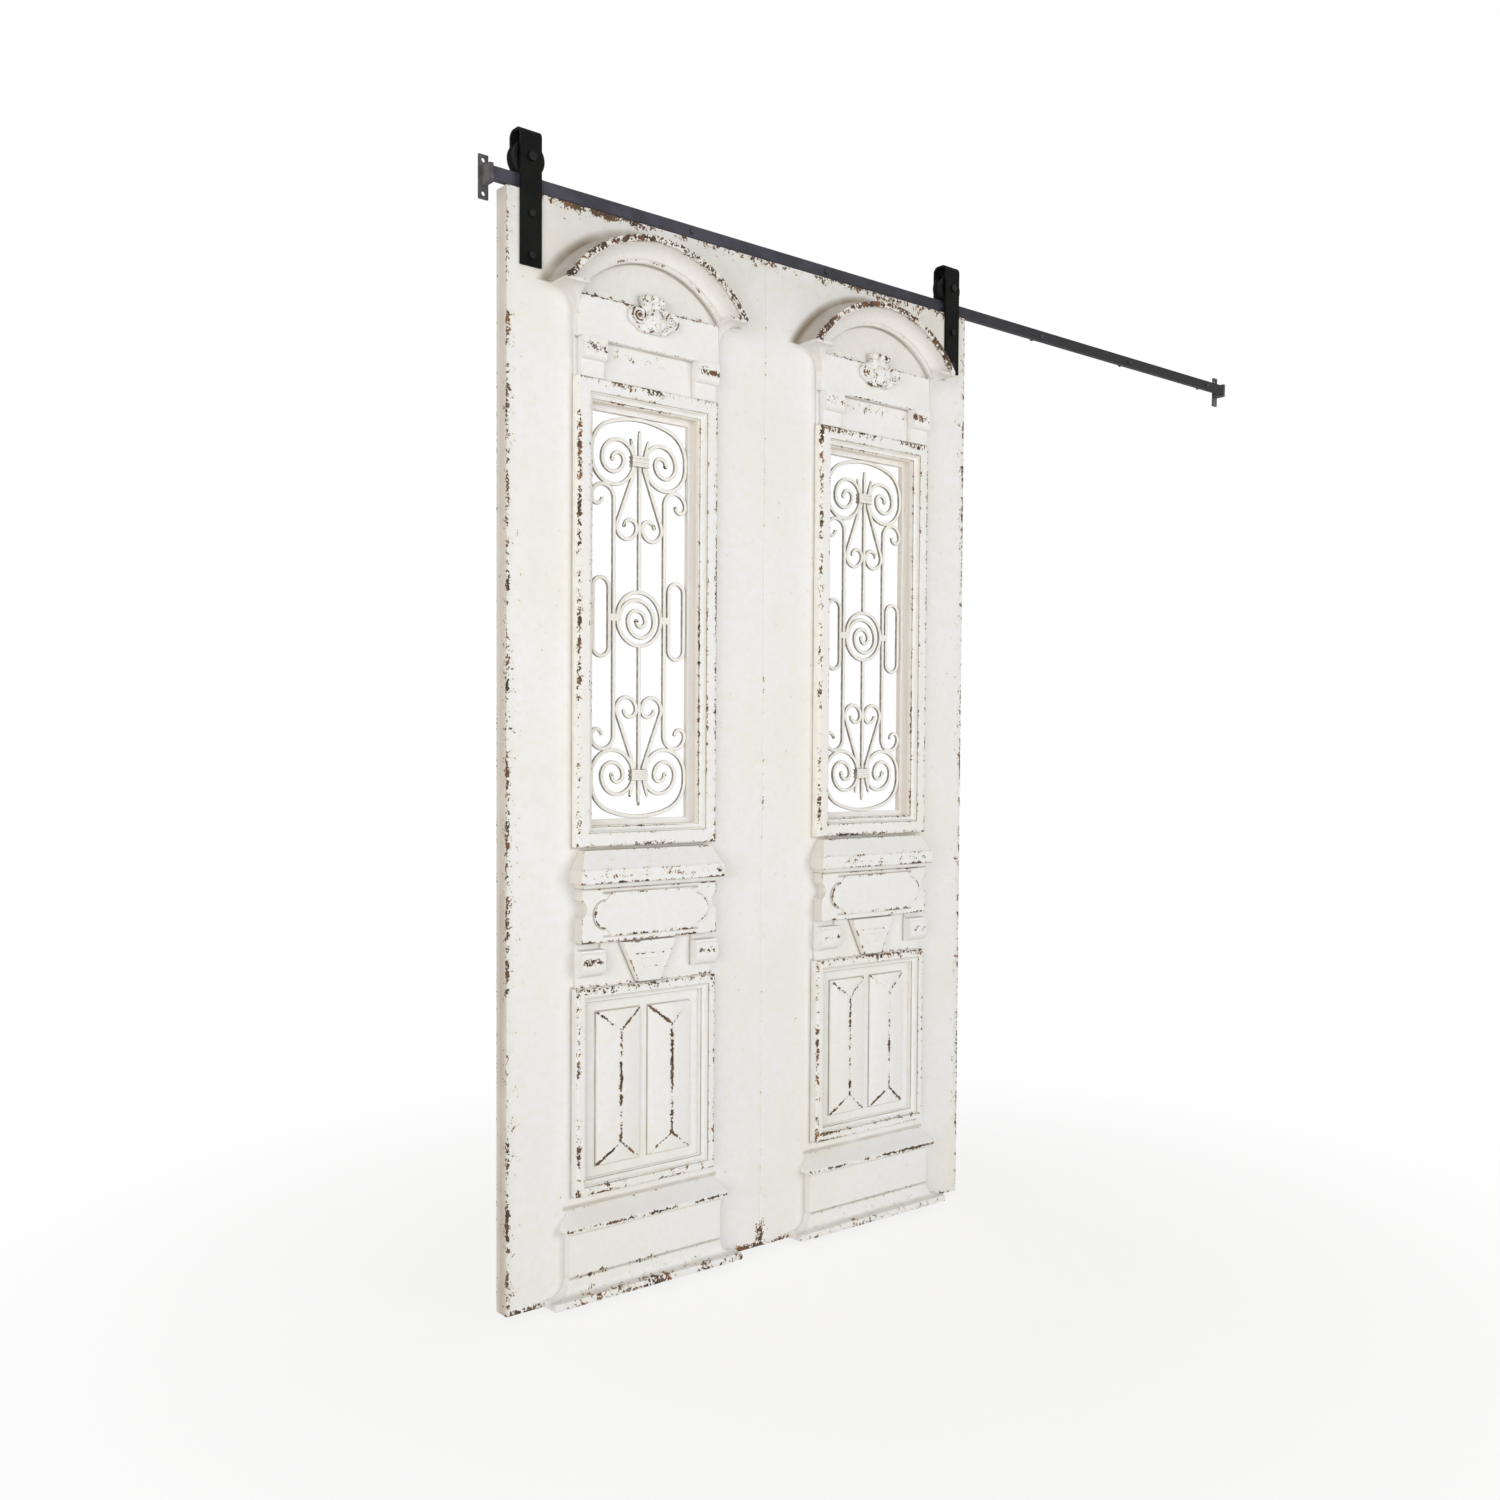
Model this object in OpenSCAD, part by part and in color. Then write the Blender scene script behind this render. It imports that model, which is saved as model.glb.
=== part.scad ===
// Sliding door: a pair of old panelled leaves with iron window grilles, hung as one
// door by two strap hangers whose grooved wheels roll on a flat bar fixed to the wall.
// Frame: X along the rail, -Y towards the room, Z up. The wall is the plane Y = 0 and the
// origin is the middle of the four wall screws, at the middle of the rail.

/* [Rail] */
// Length of the flat bar
rail_l = 2438; // [2000:2:3000]
// Height of the flat bar
rail_h = 25; // [20:1:40]
// Thickness of the flat bar
rail_t = 12; // [8:0.5:16]
// Number of bolts along the bar
rail_bolts_n = 7; // [4:1:9]
// Distance from the end of the bar to its first bolt
rail_bolt_end = 85; // [40:1:150]
// Diameter of the rail bolts
rail_bolt_d = 8; // [6:0.5:10]
// Diameter of the spacer tubes between bar and wall
spacer_d = 12; // [11:0.5:18]
// Distance of the door's left edge from the left end of the bar, as hung
door_offset = 22; // [16:1:100]

/* [Wall brackets] */
// Width of the flange on the wall
flange_w = 20; // [16:1:40]
// Height of the flange on the wall
flange_h = 82; // [70:1:120]
// Thickness of the flange
flange_t = 5; // [4:0.5:8]
// Thickness of the web that closes the end of the bar
web_t = 8; // [5:0.5:12]
// Height of the web, which stands above the bar and stops the wheel
web_h = 36; // [30:0.5:44]
// Distance between the two screw holes in a flange
flange_hole_pitch = 62; // [54:1:90]
// Diameter of the screw holes
flange_hole_d = 9; // [6:0.5:11]

/* [Hangers] */
// Width of the strap
strap_w = 46; // [40:1:60]
// Thickness of the strap
strap_t = 5; // [4:0.5:8]
// Clear width inside the bend of the strap
strap_gap = 32; // [28:0.5:40]
// Length of the strap below the top of the door
strap_drop = 141; // [110:1:200]
// Length of the back leg below the axle
back_leg_drop = 20; // [14:1:24]
// Distance of a hanger's middle from the edge of the door
hanger_inset = 50; // [30:1:90]
// Distance of the upper strap bolt below the top of the door
upper_bolt_drop = 44; // [25:1:60]
// Distance between the two strap bolts
strap_bolt_pitch = 78; // [50:1:82]
// Diameter of the strap bolts
strap_bolt_d = 8; // [6:0.5:10]
// Diameter of the axle bolt
axle_d = 10; // [8:0.5:12]

/* [Wheels] */
// Radius at the bottom of the groove, which rolls on the bar
wheel_r = 30; // [25:0.5:36]
// Height of the two flanges beside the groove
wheel_lip = 4; // [2:0.5:6]
// Width of the wheel
wheel_w = 26; // [22:0.5:27]
// Outer diameter of the bush pressed into the wheel
bush_d = 18; // [15:0.5:22]

/* [Leaf] */
// Width of one leaf
leaf_w = 635; // [560:1:760]
// Thickness of a leaf
leaf_t = 38; // [32:1:50]
// Clear gap between the bar and the top of the door
rail_gap = 6; // [4:0.5:12]
// Clear gap between the back of the door and the wall
wall_gap = 7; // [6:0.5:20]
// Number of dowels across the joint of the two leaves
dowels_n = 6; // [3:1:8]
// Diameter of the dowels
dowel_d = 12; // [8:0.5:16]
// Length of the dowels
dowel_l = 70; // [40:2:100]

/* [Window] */
// Width of the window opening at the front
window_w = 262; // [230:1:290]
// Height of the window opening at the front
window_h = 830; // [700:2:900]
// Width of the bead that narrows the opening round the grille
bead_w = 11; // [6:0.5:16]
// Depth of the bead below the front of the leaf
bead_depth = 14; // [8:0.5:16]
// Thickness of the bead
bead_t = 11; // [10:0.5:16]
// Width of the moulded frame round the window and round the lower panel
frame_w = 41; // [36:1:54]
// Projection of that frame
frame_d = 22; // [18:0.5:30]

/* [Grille] */
// Thickness of the square iron bar
bar = 8; // [6:0.5:10]
// Distance of a side bar from the middle of the grille
side_bar_x = 62.5; // [56:0.5:68]
// Distance below the top at which the big arch meets the sides
arch_drop = 76; // [70:1:90]
// Distance below the top of the middle of the big volutes
volute_drop = 88; // [84:1:110]
// Distance below the top of the middle of the hooks
hook_drop = 168; // [162:1:184]
// Distance below the top of the middle of the small scrolls
heart_drop = 221; // [210:1:260]
// Corner radius of the big arch
arch_corner_r = 62; // [50:1:68]
// Narrowing of the big volute with each half turn
volute_step = 25; // [22:0.5:28]
// Narrowing of the hook after its half turn
hook_step = 28; // [22:0.5:34]
// Narrowing of the small scroll after its half turn
heart_step = 18; // [14:0.5:24]
// Width of the first half turn of the middle spiral
spiral_d = 86; // [78:0.5:90]
// Narrowing of the middle spiral with each half turn
spiral_step = 21.5; // [18:0.5:23]
// Length of a long ring beside the middle
long_ring_l = 164; // [120:2:220]
// Width of the collar that ties the strands
collar_w = 40; // [34:1:48]
// Height of the collar
collar_h = 22; // [18:1:28]
// Distance of the tips of the spikes below the top
spike_drop = 26; // [18:1:34]

/* [Pediment] */
// Radius of the front rim of the arched hood
hood_r = 264; // [245:1:290]
// Rise of the front rim above the frieze
hood_rise = 130; // [116:1:142]
// Projection of the hood
hood_d = 60; // [56:1:75]
// Width added to the hood where it meets the leaf
hood_splay = 11; // [0:0.5:20]
// Projection of the sunk field inside the arch
tympanum_d = 13; // [8:0.5:16]
// Height of the ends of the arch above the top of the frieze
spring_lift = 12; // [4:1:20]
// Height of the flares that carry the ends of the arch
flare_h = 62; // [54:1:80]
// Plain leaf above the hood
top_margin = 41; // [26:1:80]

/* [Frieze] */
// Width of the frieze board
frieze_w = 344; // [330:2:360]
// Projection of the frieze board
frieze_d = 21; // [18:0.5:26]
// Height of the plain band of the frieze board
frieze_h = 83; // [76:1:100]
// Height of the recess that holds the brackets
bracket_h = 75; // [60:1:90]
// Width of a bracket
bracket_w = 54; // [40:1:70]
// Projection of a bracket
bracket_d = 33; // [26:0.5:42]

/* [Sill and tablet] */
// Height of the sill moulding
sill_h = 75; // [60:1:90]
// Projection of the sill
sill_d = 44; // [36:1:56]
// Width of the sill
sill_w = 354; // [340:2:400]
// Plain leaf between sill and window frame
sill_gap = 6; // [2:1:20]
// Height of the tablet block
tablet_h = 107; // [90:1:130]
// Width of the tablet block
tablet_w = 334; // [310:2:340]
// Projection of the tablet block
tablet_d = 29; // [20:0.5:36]
// Width of the raised plaque
plaque_w = 280; // [240:2:296]
// Height of the raised plaque
plaque_h = 86; // [70:1:88]
// Thickness of the raised plaque
plaque_t = 6; // [3:0.5:9]

/* [Apron] */
// Height of the apron below the tablet
apron_h = 90; // [80:1:110]
// Projection of the apron board
apron_d = 9; // [6:0.5:14]
// Width of a corbel
corbel_w = 56; // [44:1:66]
// Height of a corbel
corbel_h = 54; // [44:1:70]
// Projection of a corbel
corbel_d = 34; // [26:0.5:42]
// Width of the keystone at its top
keystone_w = 134; // [110:1:150]
// Projection of the keystone
keystone_d = 24; // [16:0.5:30]

/* [Lower panel] */
// Height of the lower frame
panel_frame_h = 410; // [380:2:500]
// How much narrower the lower frame's moulding is than the window's
panel_rim_less = 10; // [4:0.5:14]
// Plain field beside the raised panels
panel_side_gap = 24.5; // [16:0.5:34]
// Plain field above and below the raised panels
panel_end_gap = 20.5; // [14:0.5:32]
// Gap between the two raised panels
panel_gap = 21; // [14:1:30]
// Projection of a raised panel at its ridge
panel_d = 16; // [10:0.5:20]
// Plain leaf between plinth and lower frame
plinth_gap = 25; // [10:1:60]

/* [Plinth] */
// Width of the plinth block
plinth_w = 376; // [350:2:420]
// Projection of the plinth block
plinth_d = 22; // [16:0.5:30]
// Height of the plinth block between base and cap
plinth_h = 88; // [60:1:120]
// Height of the flared base
base_h = 50; // [36:1:70]
// Height of the cap
cap_h = 42; // [30:1:56]

/* [Hidden] */
$fn = 48;

// Colours
paint = "#e8e3dd";
iron_paint = "#dcd8d0";
bare_wood = "#b08a5e";
rail_grey = "#4a4a52";
strap_black = "#222222";
bush_bronze = "#a07a45";

// Sizes that follow from others
rail_bolt_pitch = (rail_l - 2 * rail_bolt_end) / (rail_bolts_n - 1);
panel_rim = frame_w - panel_rim_less;
panel_field_w = window_w + 2 * panel_rim_less;
panel_field_h = panel_frame_h - 2 * panel_rim;
panel_w = (panel_field_w - 2 * panel_side_gap - panel_gap) / 2;
panel_h = panel_field_h - 2 * panel_end_gap;

// Clearances: running fit on the axle, wheel above the bar, bush beside the legs,
// bolt in its hole, dowel in its hole
running_fit = 0.05;
wheel_lift = 0.2;
bush_side_gap = 0.3;
bolt_play = 0.2;
dowel_play = 0.05;

// Depths, measured from the wall
slab_y = -(leaf_t + wall_gap);
strap_mid_y = slab_y + strap_gap / 2;
rail_front_y = strap_mid_y - rail_t / 2;
rail_back_y = strap_mid_y + rail_t / 2;
back_leg_y = slab_y + strap_gap;

// Heights, measured from the middle of the bar
door_top_z = -rail_h / 2 - rail_gap;
axle_z = rail_h / 2 + wheel_r + wheel_lift;
strap_head_gap = 15;
strap_top_z = axle_z + wheel_r + wheel_lip + strap_head_gap + strap_t;

// The stack of pieces on a leaf, from the bottom of the leaf upwards
cap_z = base_h + plinth_h;
panel_frame_z = cap_z + cap_h + plinth_gap;
apron_z = panel_frame_z + panel_frame_h;
tablet_z = apron_z + apron_h;
sill_z = tablet_z + tablet_h;
window_frame_z = sill_z + sill_h + sill_gap;
window_z = window_frame_z + frame_w;
frieze_z = window_z + window_h + frame_w;
hood_z = frieze_z + bracket_h + frieze_h;
leaf_h = hood_z + hood_rise + top_margin;
leaf_z = door_top_z - leaf_h;

// Places along the rail
door_x = -rail_l / 2 + door_offset;
door_w = 2 * leaf_w;
hanger_x = [door_x + hanger_inset, door_x + door_w - hanger_inset];
flange_x = (rail_l + web_t) / 2;

// Middle line of the ring of the grille, which lies between the side bars
ring_r = side_bar_x - bar - 0.5;

// Sizes of standard fasteners for a given thread
function head_af(d) = 1.6 * d;
function head_h(d) = 0.65 * d;
thin_nut_h = 4;
button_head_d = 13;
button_head_h = 4;

far = 4000;

// Flat hexagon of a given size across the flats
module hexagon(across) {
    circle(d = across / cos(30), $fn = 6);
}

// Turns a drawing so that its own z axis points to the room (-Y)
module to_room() {
    rotate([90, 0, 0]) children();
}

// Upright side drawing (x = projection to the room, y = height) carried along X
module along_x(length) {
    translate([-length / 2, 0, 0])
        rotate([90, 0, 90])
            linear_extrude(length)
                mirror([1, 0, 0]) children();
}

// Moulding that runs across the front and returns down both sides. children(0) is what
// the front adds to base_d, children(1) what each side adds to half of base_w.
module returned_moulding(base_w, base_d, h) {
    intersection() {
        along_x(far) {
            square([base_d, h]);
            translate([base_d, 0]) children(0);
        }
        for (side = [0, 1])
            mirror([side, 0, 0]) to_room() linear_extrude(far) {
                translate([-base_w / 4, 0]) square([3 * base_w / 4, h]);
                translate([base_w / 2, 0]) children(1);
            }
    }
}

// Runs its child, x from the middle outwards and y the projection, up both sides
module both_sides(length) {
    for (side = [0, 1])
        mirror([side, 0, 0]) rotate([180, 0, 0]) linear_extrude(length, center = true) children();
}

// Frame of a w by h opening with mitred corners, standing on the leaf's front: the inner
// steps rise away from the opening on all four sides, and the outer edge is rounded
module mitred_frame(w, h, rim) {
    past = 2 * rim;
    intersection() {
        union() {
            both_sides(h + 2 * past) translate([w / 2, 0]) frame_steps(past);
            rotate([0, 90, 0]) both_sides(w + 2 * past) translate([h / 2, 0]) frame_steps(past);
        }
        both_sides(h + 2 * past) frame_outside(w / 2 + rim);
        rotate([0, 90, 0]) both_sides(w + 2 * past) frame_outside(h / 2 + rim);
    }
}

// Section of a frame from the opening outwards: a low fillet, a cove, a step and the face
module frame_steps(reach) {
    fillet = 3;
    cove_r = 8;
    face_x = cove_r + 2 * fillet;
    step_d = frame_d - fillet;
    difference() {
        union() {
            square([face_x, step_d]);
            translate([face_x - fillet / 2, 0]) square([reach - face_x, frame_d]);
            square([reach, step_d - fillet]);
        }
        translate([-frame_d, step_d - cove_r - fillet]) square([frame_d + fillet, frame_d]);
        translate([fillet, step_d]) circle(cove_r);
        translate([fillet, step_d]) square([face_x - fillet, frame_d]);
    }
}

// Half of a frame's outside with its rounded front edge
module frame_outside(half) {
    edge_r = 6;
    lap = 1;
    translate([-lap, 0]) square([half - edge_r + lap, frame_d]);
    translate([-lap, 0]) square([half + lap, frame_d - edge_r]);
    translate([half - edge_r, frame_d - edge_r]) circle(edge_r);
}

// Quarter cove that swells from nothing at its foot to the full projection under a fascia
module cove_flare(projection, h, fascia) {
    r = min(projection, h - fascia);
    lap = 0.5;
    translate([-lap, h - fascia - lap]) square([projection + lap, fascia + lap]);
    translate([0, h - fascia - r])
        difference() {
            translate([-lap, 0]) square([r + lap, r]);
            translate([r, 0]) circle(r);
        }
}

// Flat bar along an arc from angle a0 up to a1 (at most half a turn) about c
module arc_bar(c, r, a0, a1) {
    mid = (a0 + a1) / 2;
    half = (a1 - a0) / 2;
    reach = 2 * r + bar;
    translate(c)
        intersection() {
            difference() {
                circle(r + bar / 2);
                circle(r - bar / 2);
            }
            if (half >= 89.9)
                rotate(mid) translate([0, -reach]) square([reach, 2 * reach]);
            else
                polygon([[0, 0], reach * [cos(a0), sin(a0)],
                         reach * [cos(mid), sin(mid)] / cos(half / 2),
                         reach * [cos(a1), sin(a1)]]);
        }
}

// Flat bar from point to point
module straight_bar(from, to) {
    d = to - from;
    translate(from) rotate(atan2(d[1], d[0])) translate([0, -bar / 2]) square([norm(d), bar]);
}

// Scroll of half turns: starts at x0 on the level y, first bending to the side dir (1 up,
// -1 down), each half turn in the list of widths ending nearer the middle, towards in (1 or -1)
module scroll(x0, y, widths, dir, in, knob_r) {
    ends = [for (i = 0, x = x0; i <= len(widths);
                 x = x + (i < len(widths) ? in * widths[i] * (i % 2 == 0 ? 1 : -1) : 0), i = i + 1) x];
    for (i = [0 : len(widths) - 1]) {
        up = (i % 2 == 0 ? dir : -dir) > 0;
        arc_bar([(ends[i] + ends[i + 1]) / 2, y], widths[i] / 2, up ? 0 : 180, up ? 180 : 360);
    }
    translate([ends[len(widths)], y]) circle(knob_r);
}

// Upright rectangle with its two top corners rounded
module round_top(x0, x1, z0, z1, r) {
    translate([x0, z0]) square([x1 - x0, z1 - r - z0]);
    translate([x0 + r, z0]) square([x1 - x0 - 2 * r, z1 - z0]);
    for (x = [x0 + r, x1 - r]) translate([x, z1 - r]) circle(r);
}

// Flat bar on which the wheels roll
module rail() {
    color(rail_grey) difference() {
        translate([-rail_l / 2, rail_front_y, -rail_h / 2]) cube([rail_l, rail_t, rail_h]);
        at_rail_bolts() translate([0, rail_front_y + rail_t + 1, 0])
            to_room() cylinder(d = rail_bolt_d + 2 * bolt_play, h = rail_t + 2);
    }
}

// Places its child at every bolt of the bar
module at_rail_bolts() {
    for (i = [0 : rail_bolts_n - 1])
        translate([(i - (rail_bolts_n - 1) / 2) * rail_bolt_pitch, 0, 0]) children();
}

// End bracket: wall flange with two screw holes and a web welded to the end of the bar
module wall_bracket(side) {
    color(rail_grey) mirror([side, 0, 0]) {
        difference() {
            translate([flange_x - flange_w / 2, -flange_t, -flange_h / 2])
                cube([flange_w, flange_t, flange_h]);
            for (z = [-1, 1])
                translate([flange_x, 1, z * flange_hole_pitch / 2])
                    to_room() cylinder(d = flange_hole_d, h = flange_t + 2);
        }
        translate([rail_l / 2, rail_front_y, -web_h / 2])
            cube([web_t, -flange_t - rail_front_y, web_h]);
    }
}

// Tubes that hold the bar off the wall
module rail_spacers() {
    color(rail_grey) at_rail_bolts() to_room() difference() {
        cylinder(d = spacer_d, h = -rail_back_y);
        translate([0, 0, -1]) cylinder(d = rail_bolt_d + 2 * bolt_play, h = 2 - rail_back_y);
    }
}

// Low-headed bolts through bar and spacers, drawn up to the wall
module rail_bolts() {
    head_top_d = 9;
    color(strap_black) at_rail_bolts() to_room() {
        cylinder(d = rail_bolt_d, h = -rail_front_y);
        translate([0, 0, -rail_front_y]) cylinder(d1 = button_head_d, d2 = head_top_d, h = button_head_h);
    }
}

// Side drawing of the strap: long front leg, bend over the wheel, short back leg
module strap_side() {
    bend_r = 14;
    foot_z = door_top_z - strap_drop;
    difference() {
        round_top(-strap_gap - strap_t, strap_t, foot_z, strap_top_z, bend_r);
        round_top(-strap_gap, 0, foot_z - 1, strap_top_z - strap_t, bend_r - strap_t);
        translate([-strap_gap - 2 * strap_t, foot_z - 1])
            square([3 * strap_t, axle_z - back_leg_drop - foot_z + 1]);
    }
}

// Bent strap with its holes
module hanger(i) {
    color(strap_black) translate([hanger_x[i], slab_y, 0]) difference() {
        along_x(strap_w) strap_side();
        translate([0, strap_gap + 2 * strap_t, axle_z])
            to_room() cylinder(d = axle_d + 2 * bolt_play, h = strap_gap + 4 * strap_t);
        for (k = [0, 1])
            translate([0, strap_t, door_top_z - upper_bolt_drop - k * strap_bolt_pitch])
                to_room() cylinder(d = strap_bolt_d + 2 * bolt_play, h = 3 * strap_t);
    }
}

// Hexagon-headed bolt with its head at the front of a strap
module strap_front_bolt(d, shank_l) {
    translate([0, shank_l - strap_t, 0]) to_room() cylinder(d = d, h = shank_l);
    translate([0, -strap_t, 0]) to_room() linear_extrude(head_h(d)) hexagon(head_af(d));
}

// Thin nut whose front face lies on the local plane y = 0
module thin_nut(d) {
    translate([0, thin_nut_h, 0]) to_room() linear_extrude(thin_nut_h) difference() {
        hexagon(head_af(d));
        circle(d = d);
    }
}

// Bolt that carries the wheel
module axle(i) {
    end_l = thin_nut_h + 0.5;
    color(strap_black) translate([hanger_x[i], slab_y, axle_z])
        strap_front_bolt(axle_d, strap_gap + 2 * strap_t + end_l);
}

// Nuts of the two wheel bolts
module axle_nuts() {
    color(strap_black) for (i = [0, 1])
        translate([hanger_x[i], back_leg_y + strap_t, axle_z]) thin_nut(axle_d);
}

// Places its child at the four bolts that hold the straps to the leaves
module at_strap_bolts() {
    for (i = [0, 1], k = [0, 1])
        translate([hanger_x[i], slab_y, door_top_z - upper_bolt_drop - k * strap_bolt_pitch]) children();
}

// Bolts of the straps
module hanger_bolts() {
    end_l = thin_nut_h + 0.5;
    color(strap_black) at_strap_bolts() strap_front_bolt(strap_bolt_d, strap_t + leaf_t + end_l);
}

// Nuts of the strap bolts, at the back of the leaves
module hanger_nuts() {
    color(strap_black) at_strap_bolts() translate([0, leaf_t, 0]) thin_nut(strap_bolt_d);
}

// Grooved wheel with dished sides
module wheel(i) {
    lip_r = wheel_r + wheel_lip;
    groove = rail_t / 2 + 1;
    lip_slope = 2;
    half_w = wheel_w / 2;
    hub_r = bush_d / 2 + 5;
    rim_r = wheel_r - 4;
    dish = 3;
    color(strap_black) translate([hanger_x[i], strap_mid_y, axle_z]) to_room() rotate_extrude()
        polygon([[bush_d / 2, -half_w], [hub_r, -half_w], [hub_r, dish - half_w],
                 [rim_r, dish - half_w], [rim_r, -half_w], [lip_r, -half_w],
                 [lip_r, -groove - lip_slope], [wheel_r, -groove], [wheel_r, groove],
                 [lip_r, groove + lip_slope], [lip_r, half_w], [rim_r, half_w],
                 [rim_r, half_w - dish], [hub_r, half_w - dish], [hub_r, half_w], [bush_d / 2, half_w]]);
}

// Bush pressed into the wheel, turning on the axle
module bush(i) {
    l = strap_gap - 2 * bush_side_gap;
    color(bush_bronze) translate([hanger_x[i], strap_mid_y + l / 2, axle_z]) to_room() difference() {
        cylinder(d = bush_d, h = l);
        translate([0, 0, -1]) cylinder(d = axle_d + 2 * running_fit, h = l + 2);
    }
}

// Places its child at every dowel of the joint between the leaves
module at_dowels() {
    for (k = [0 : dowels_n - 1])
        translate([door_x + leaf_w, slab_y + leaf_t / 2, leaf_z + leaf_h * (k + 0.5) / dowels_n])
            rotate([0, 90, 0]) children();
}

// Hidden dowels that make one door of the two leaves
module seam_dowels() {
    color(bare_wood) at_dowels() cylinder(d = dowel_d, h = dowel_l, center = true);
}

// Carries a piece from leaf coordinates (middle of the leaf's foot, on its front) to the door
module leaf(i) {
    translate([door_x + leaf_w * (i + 0.5), slab_y, leaf_z]) children();
}

// Boards of one leaf, worked as one slab with the window cut through
module slab(i) {
    seam_v = 2;
    dowel_room = 1;
    color(paint) difference() {
        leaf(i) difference() {
            translate([-leaf_w / 2, 0, 0]) cube([leaf_w, leaf_t, leaf_h]);
            translate([-window_w / 2, -1, window_z]) cube([window_w, bead_depth + 1, window_h]);
            translate([-window_w / 2, bead_depth + bead_t, window_z]) cube([window_w, leaf_t, window_h]);
            translate([-window_w / 2 + bead_w, -1, window_z + bead_w])
                cube([window_w - 2 * bead_w, leaf_t + 2, window_h - 2 * bead_w]);
            translate([(i == 0 ? 1 : -1) * leaf_w / 2, 0, -1]) linear_extrude(leaf_h + 2)
                polygon([[-seam_v, -1], [-seam_v, 0], [0, seam_v], [seam_v, 0], [seam_v, -1]]);
        }
        at_dowels() cylinder(d = dowel_d + 2 * dowel_play, h = dowel_l + 2 * dowel_room, center = true);
        at_strap_bolts() translate([0, leaf_t + 1, 0])
            to_room() cylinder(d = strap_bolt_d + 2 * bolt_play, h = leaf_t + 2);
    }
}

// Arched hood: splayed outer face, chipped rim, cove and bead down to the sunk field
module hood() {
    rim = 12;
    rim_step = 5;
    cove_r = 26;
    bead_r = 4;
    bead_x = hood_r - rim - cove_r - bead_r;
    bead_d = hood_d - rim_step - cove_r - 2;
    color(paint) intersection() {
        translate([0, 0, hood_z + hood_rise - hood_r]) to_room() rotate_extrude() {
            difference() {
                polygon([[0, 0], [hood_r + hood_splay, 0], [hood_r, hood_d], [hood_r - rim, hood_d],
                         [hood_r - rim, hood_d - rim_step], [bead_x, hood_d - rim_step],
                         [bead_x, tympanum_d], [0, tympanum_d]]);
                translate([bead_x + bead_r, hood_d - rim_step]) circle(cove_r);
                translate([0, bead_d]) square([bead_x + bead_r, hood_d]);
            }
            translate([bead_x, bead_d - bead_r]) circle(bead_r);
        }
        union() {
            translate([-far / 2, -far / 2, hood_z + spring_lift]) cube(far);
            translate([-frieze_w / 2, -far / 2, hood_z]) cube([frieze_w, far, far]);
        }
    }
}

// Coved flares that carry the two ends of the arch beside the frieze
module flares() {
    half_span = sqrt(pow(hood_r, 2) - pow(hood_r - hood_rise + spring_lift, 2));
    lip = 6;
    side = half_span - frieze_w / 2;
    color(paint) translate([0, 0, hood_z + spring_lift - flare_h]) for (m = [0, 1]) mirror([m, 0, 0])
        intersection() {
            returned_moulding(frieze_w, frieze_d, flare_h) {
                cove_flare(hood_d - frieze_d - 2, flare_h, lip);
                cove_flare(side, flare_h, lip);
            }
            translate([frieze_w / 2, -far / 2, -1]) cube(far);
        }
}

// Carved boss at the middle of the frieze: two volutes, an oval between them, a crest above
module medallion() {
    volute_x = 39;
    volute_z = -22;
    volute_r = 20;
    volute_ring_r = 13;
    volute_bar_r = 5;
    eye_r = 7;
    boss_z = -19;
    boss_r = 33;
    oval_z = -29;
    oval_r = 24;
    dome_r = 44;
    dome_out = 14;
    crest_x = 18;
    crest_z = 14;
    crest_r = 10;
    bead_r = 8.5;
    plate_t = 12;
    module outline() {
        translate([0, boss_z]) circle(boss_r);
        for (m = [-1, 1]) {
            translate([m * volute_x, volute_z]) circle(volute_r);
            translate([m * crest_x, crest_z]) circle(crest_r);
        }
        translate([-crest_x, crest_z - crest_r]) square([2 * crest_x, 2 * crest_r]);
    }
    color(paint) translate([0, 0, hood_z]) {
        // the part below the top of the frieze stands on the frieze
        translate([0, -frieze_d, 0]) to_room() linear_extrude(plate_t) intersection() {
            outline();
            translate([-far / 2, -far]) square(far);
        }
        // the crest stands on the sunk field above it
        translate([0, -tympanum_d, 0]) to_room() linear_extrude(plate_t + frieze_d - tympanum_d)
            intersection() {
                outline();
                translate([-far / 2, 0]) square(far);
            }
        translate([0, -frieze_d - plate_t, 0]) {
            for (m = [-1, 1]) translate([m * volute_x, 0, volute_z]) to_room() {
                rotate_extrude() translate([volute_ring_r, 0]) circle(volute_bar_r);
                sphere(eye_r);
            }
            translate([0, 0, oval_z]) to_room() intersection() {
                translate([0, 0, dome_out - dome_r]) sphere(dome_r);
                cylinder(r = oval_r, h = dome_r);
            }
            for (m = [-1 : 1]) translate([m * crest_x, 0, crest_z]) sphere(bead_r);
        }
    }
}

// Frieze board with the recess under it
module frieze() {
    recess_d = 8;
    bevel = 3;
    color(paint) translate([0, 0, frieze_z]) along_x(frieze_w)
        polygon([[0, 0], [recess_d, 0], [recess_d, bracket_h], [frieze_d, bracket_h],
                 [frieze_d, bracket_h + frieze_h - bevel], [frieze_d - bevel, bracket_h + frieze_h],
                 [0, bracket_h + frieze_h]]);
}

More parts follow.
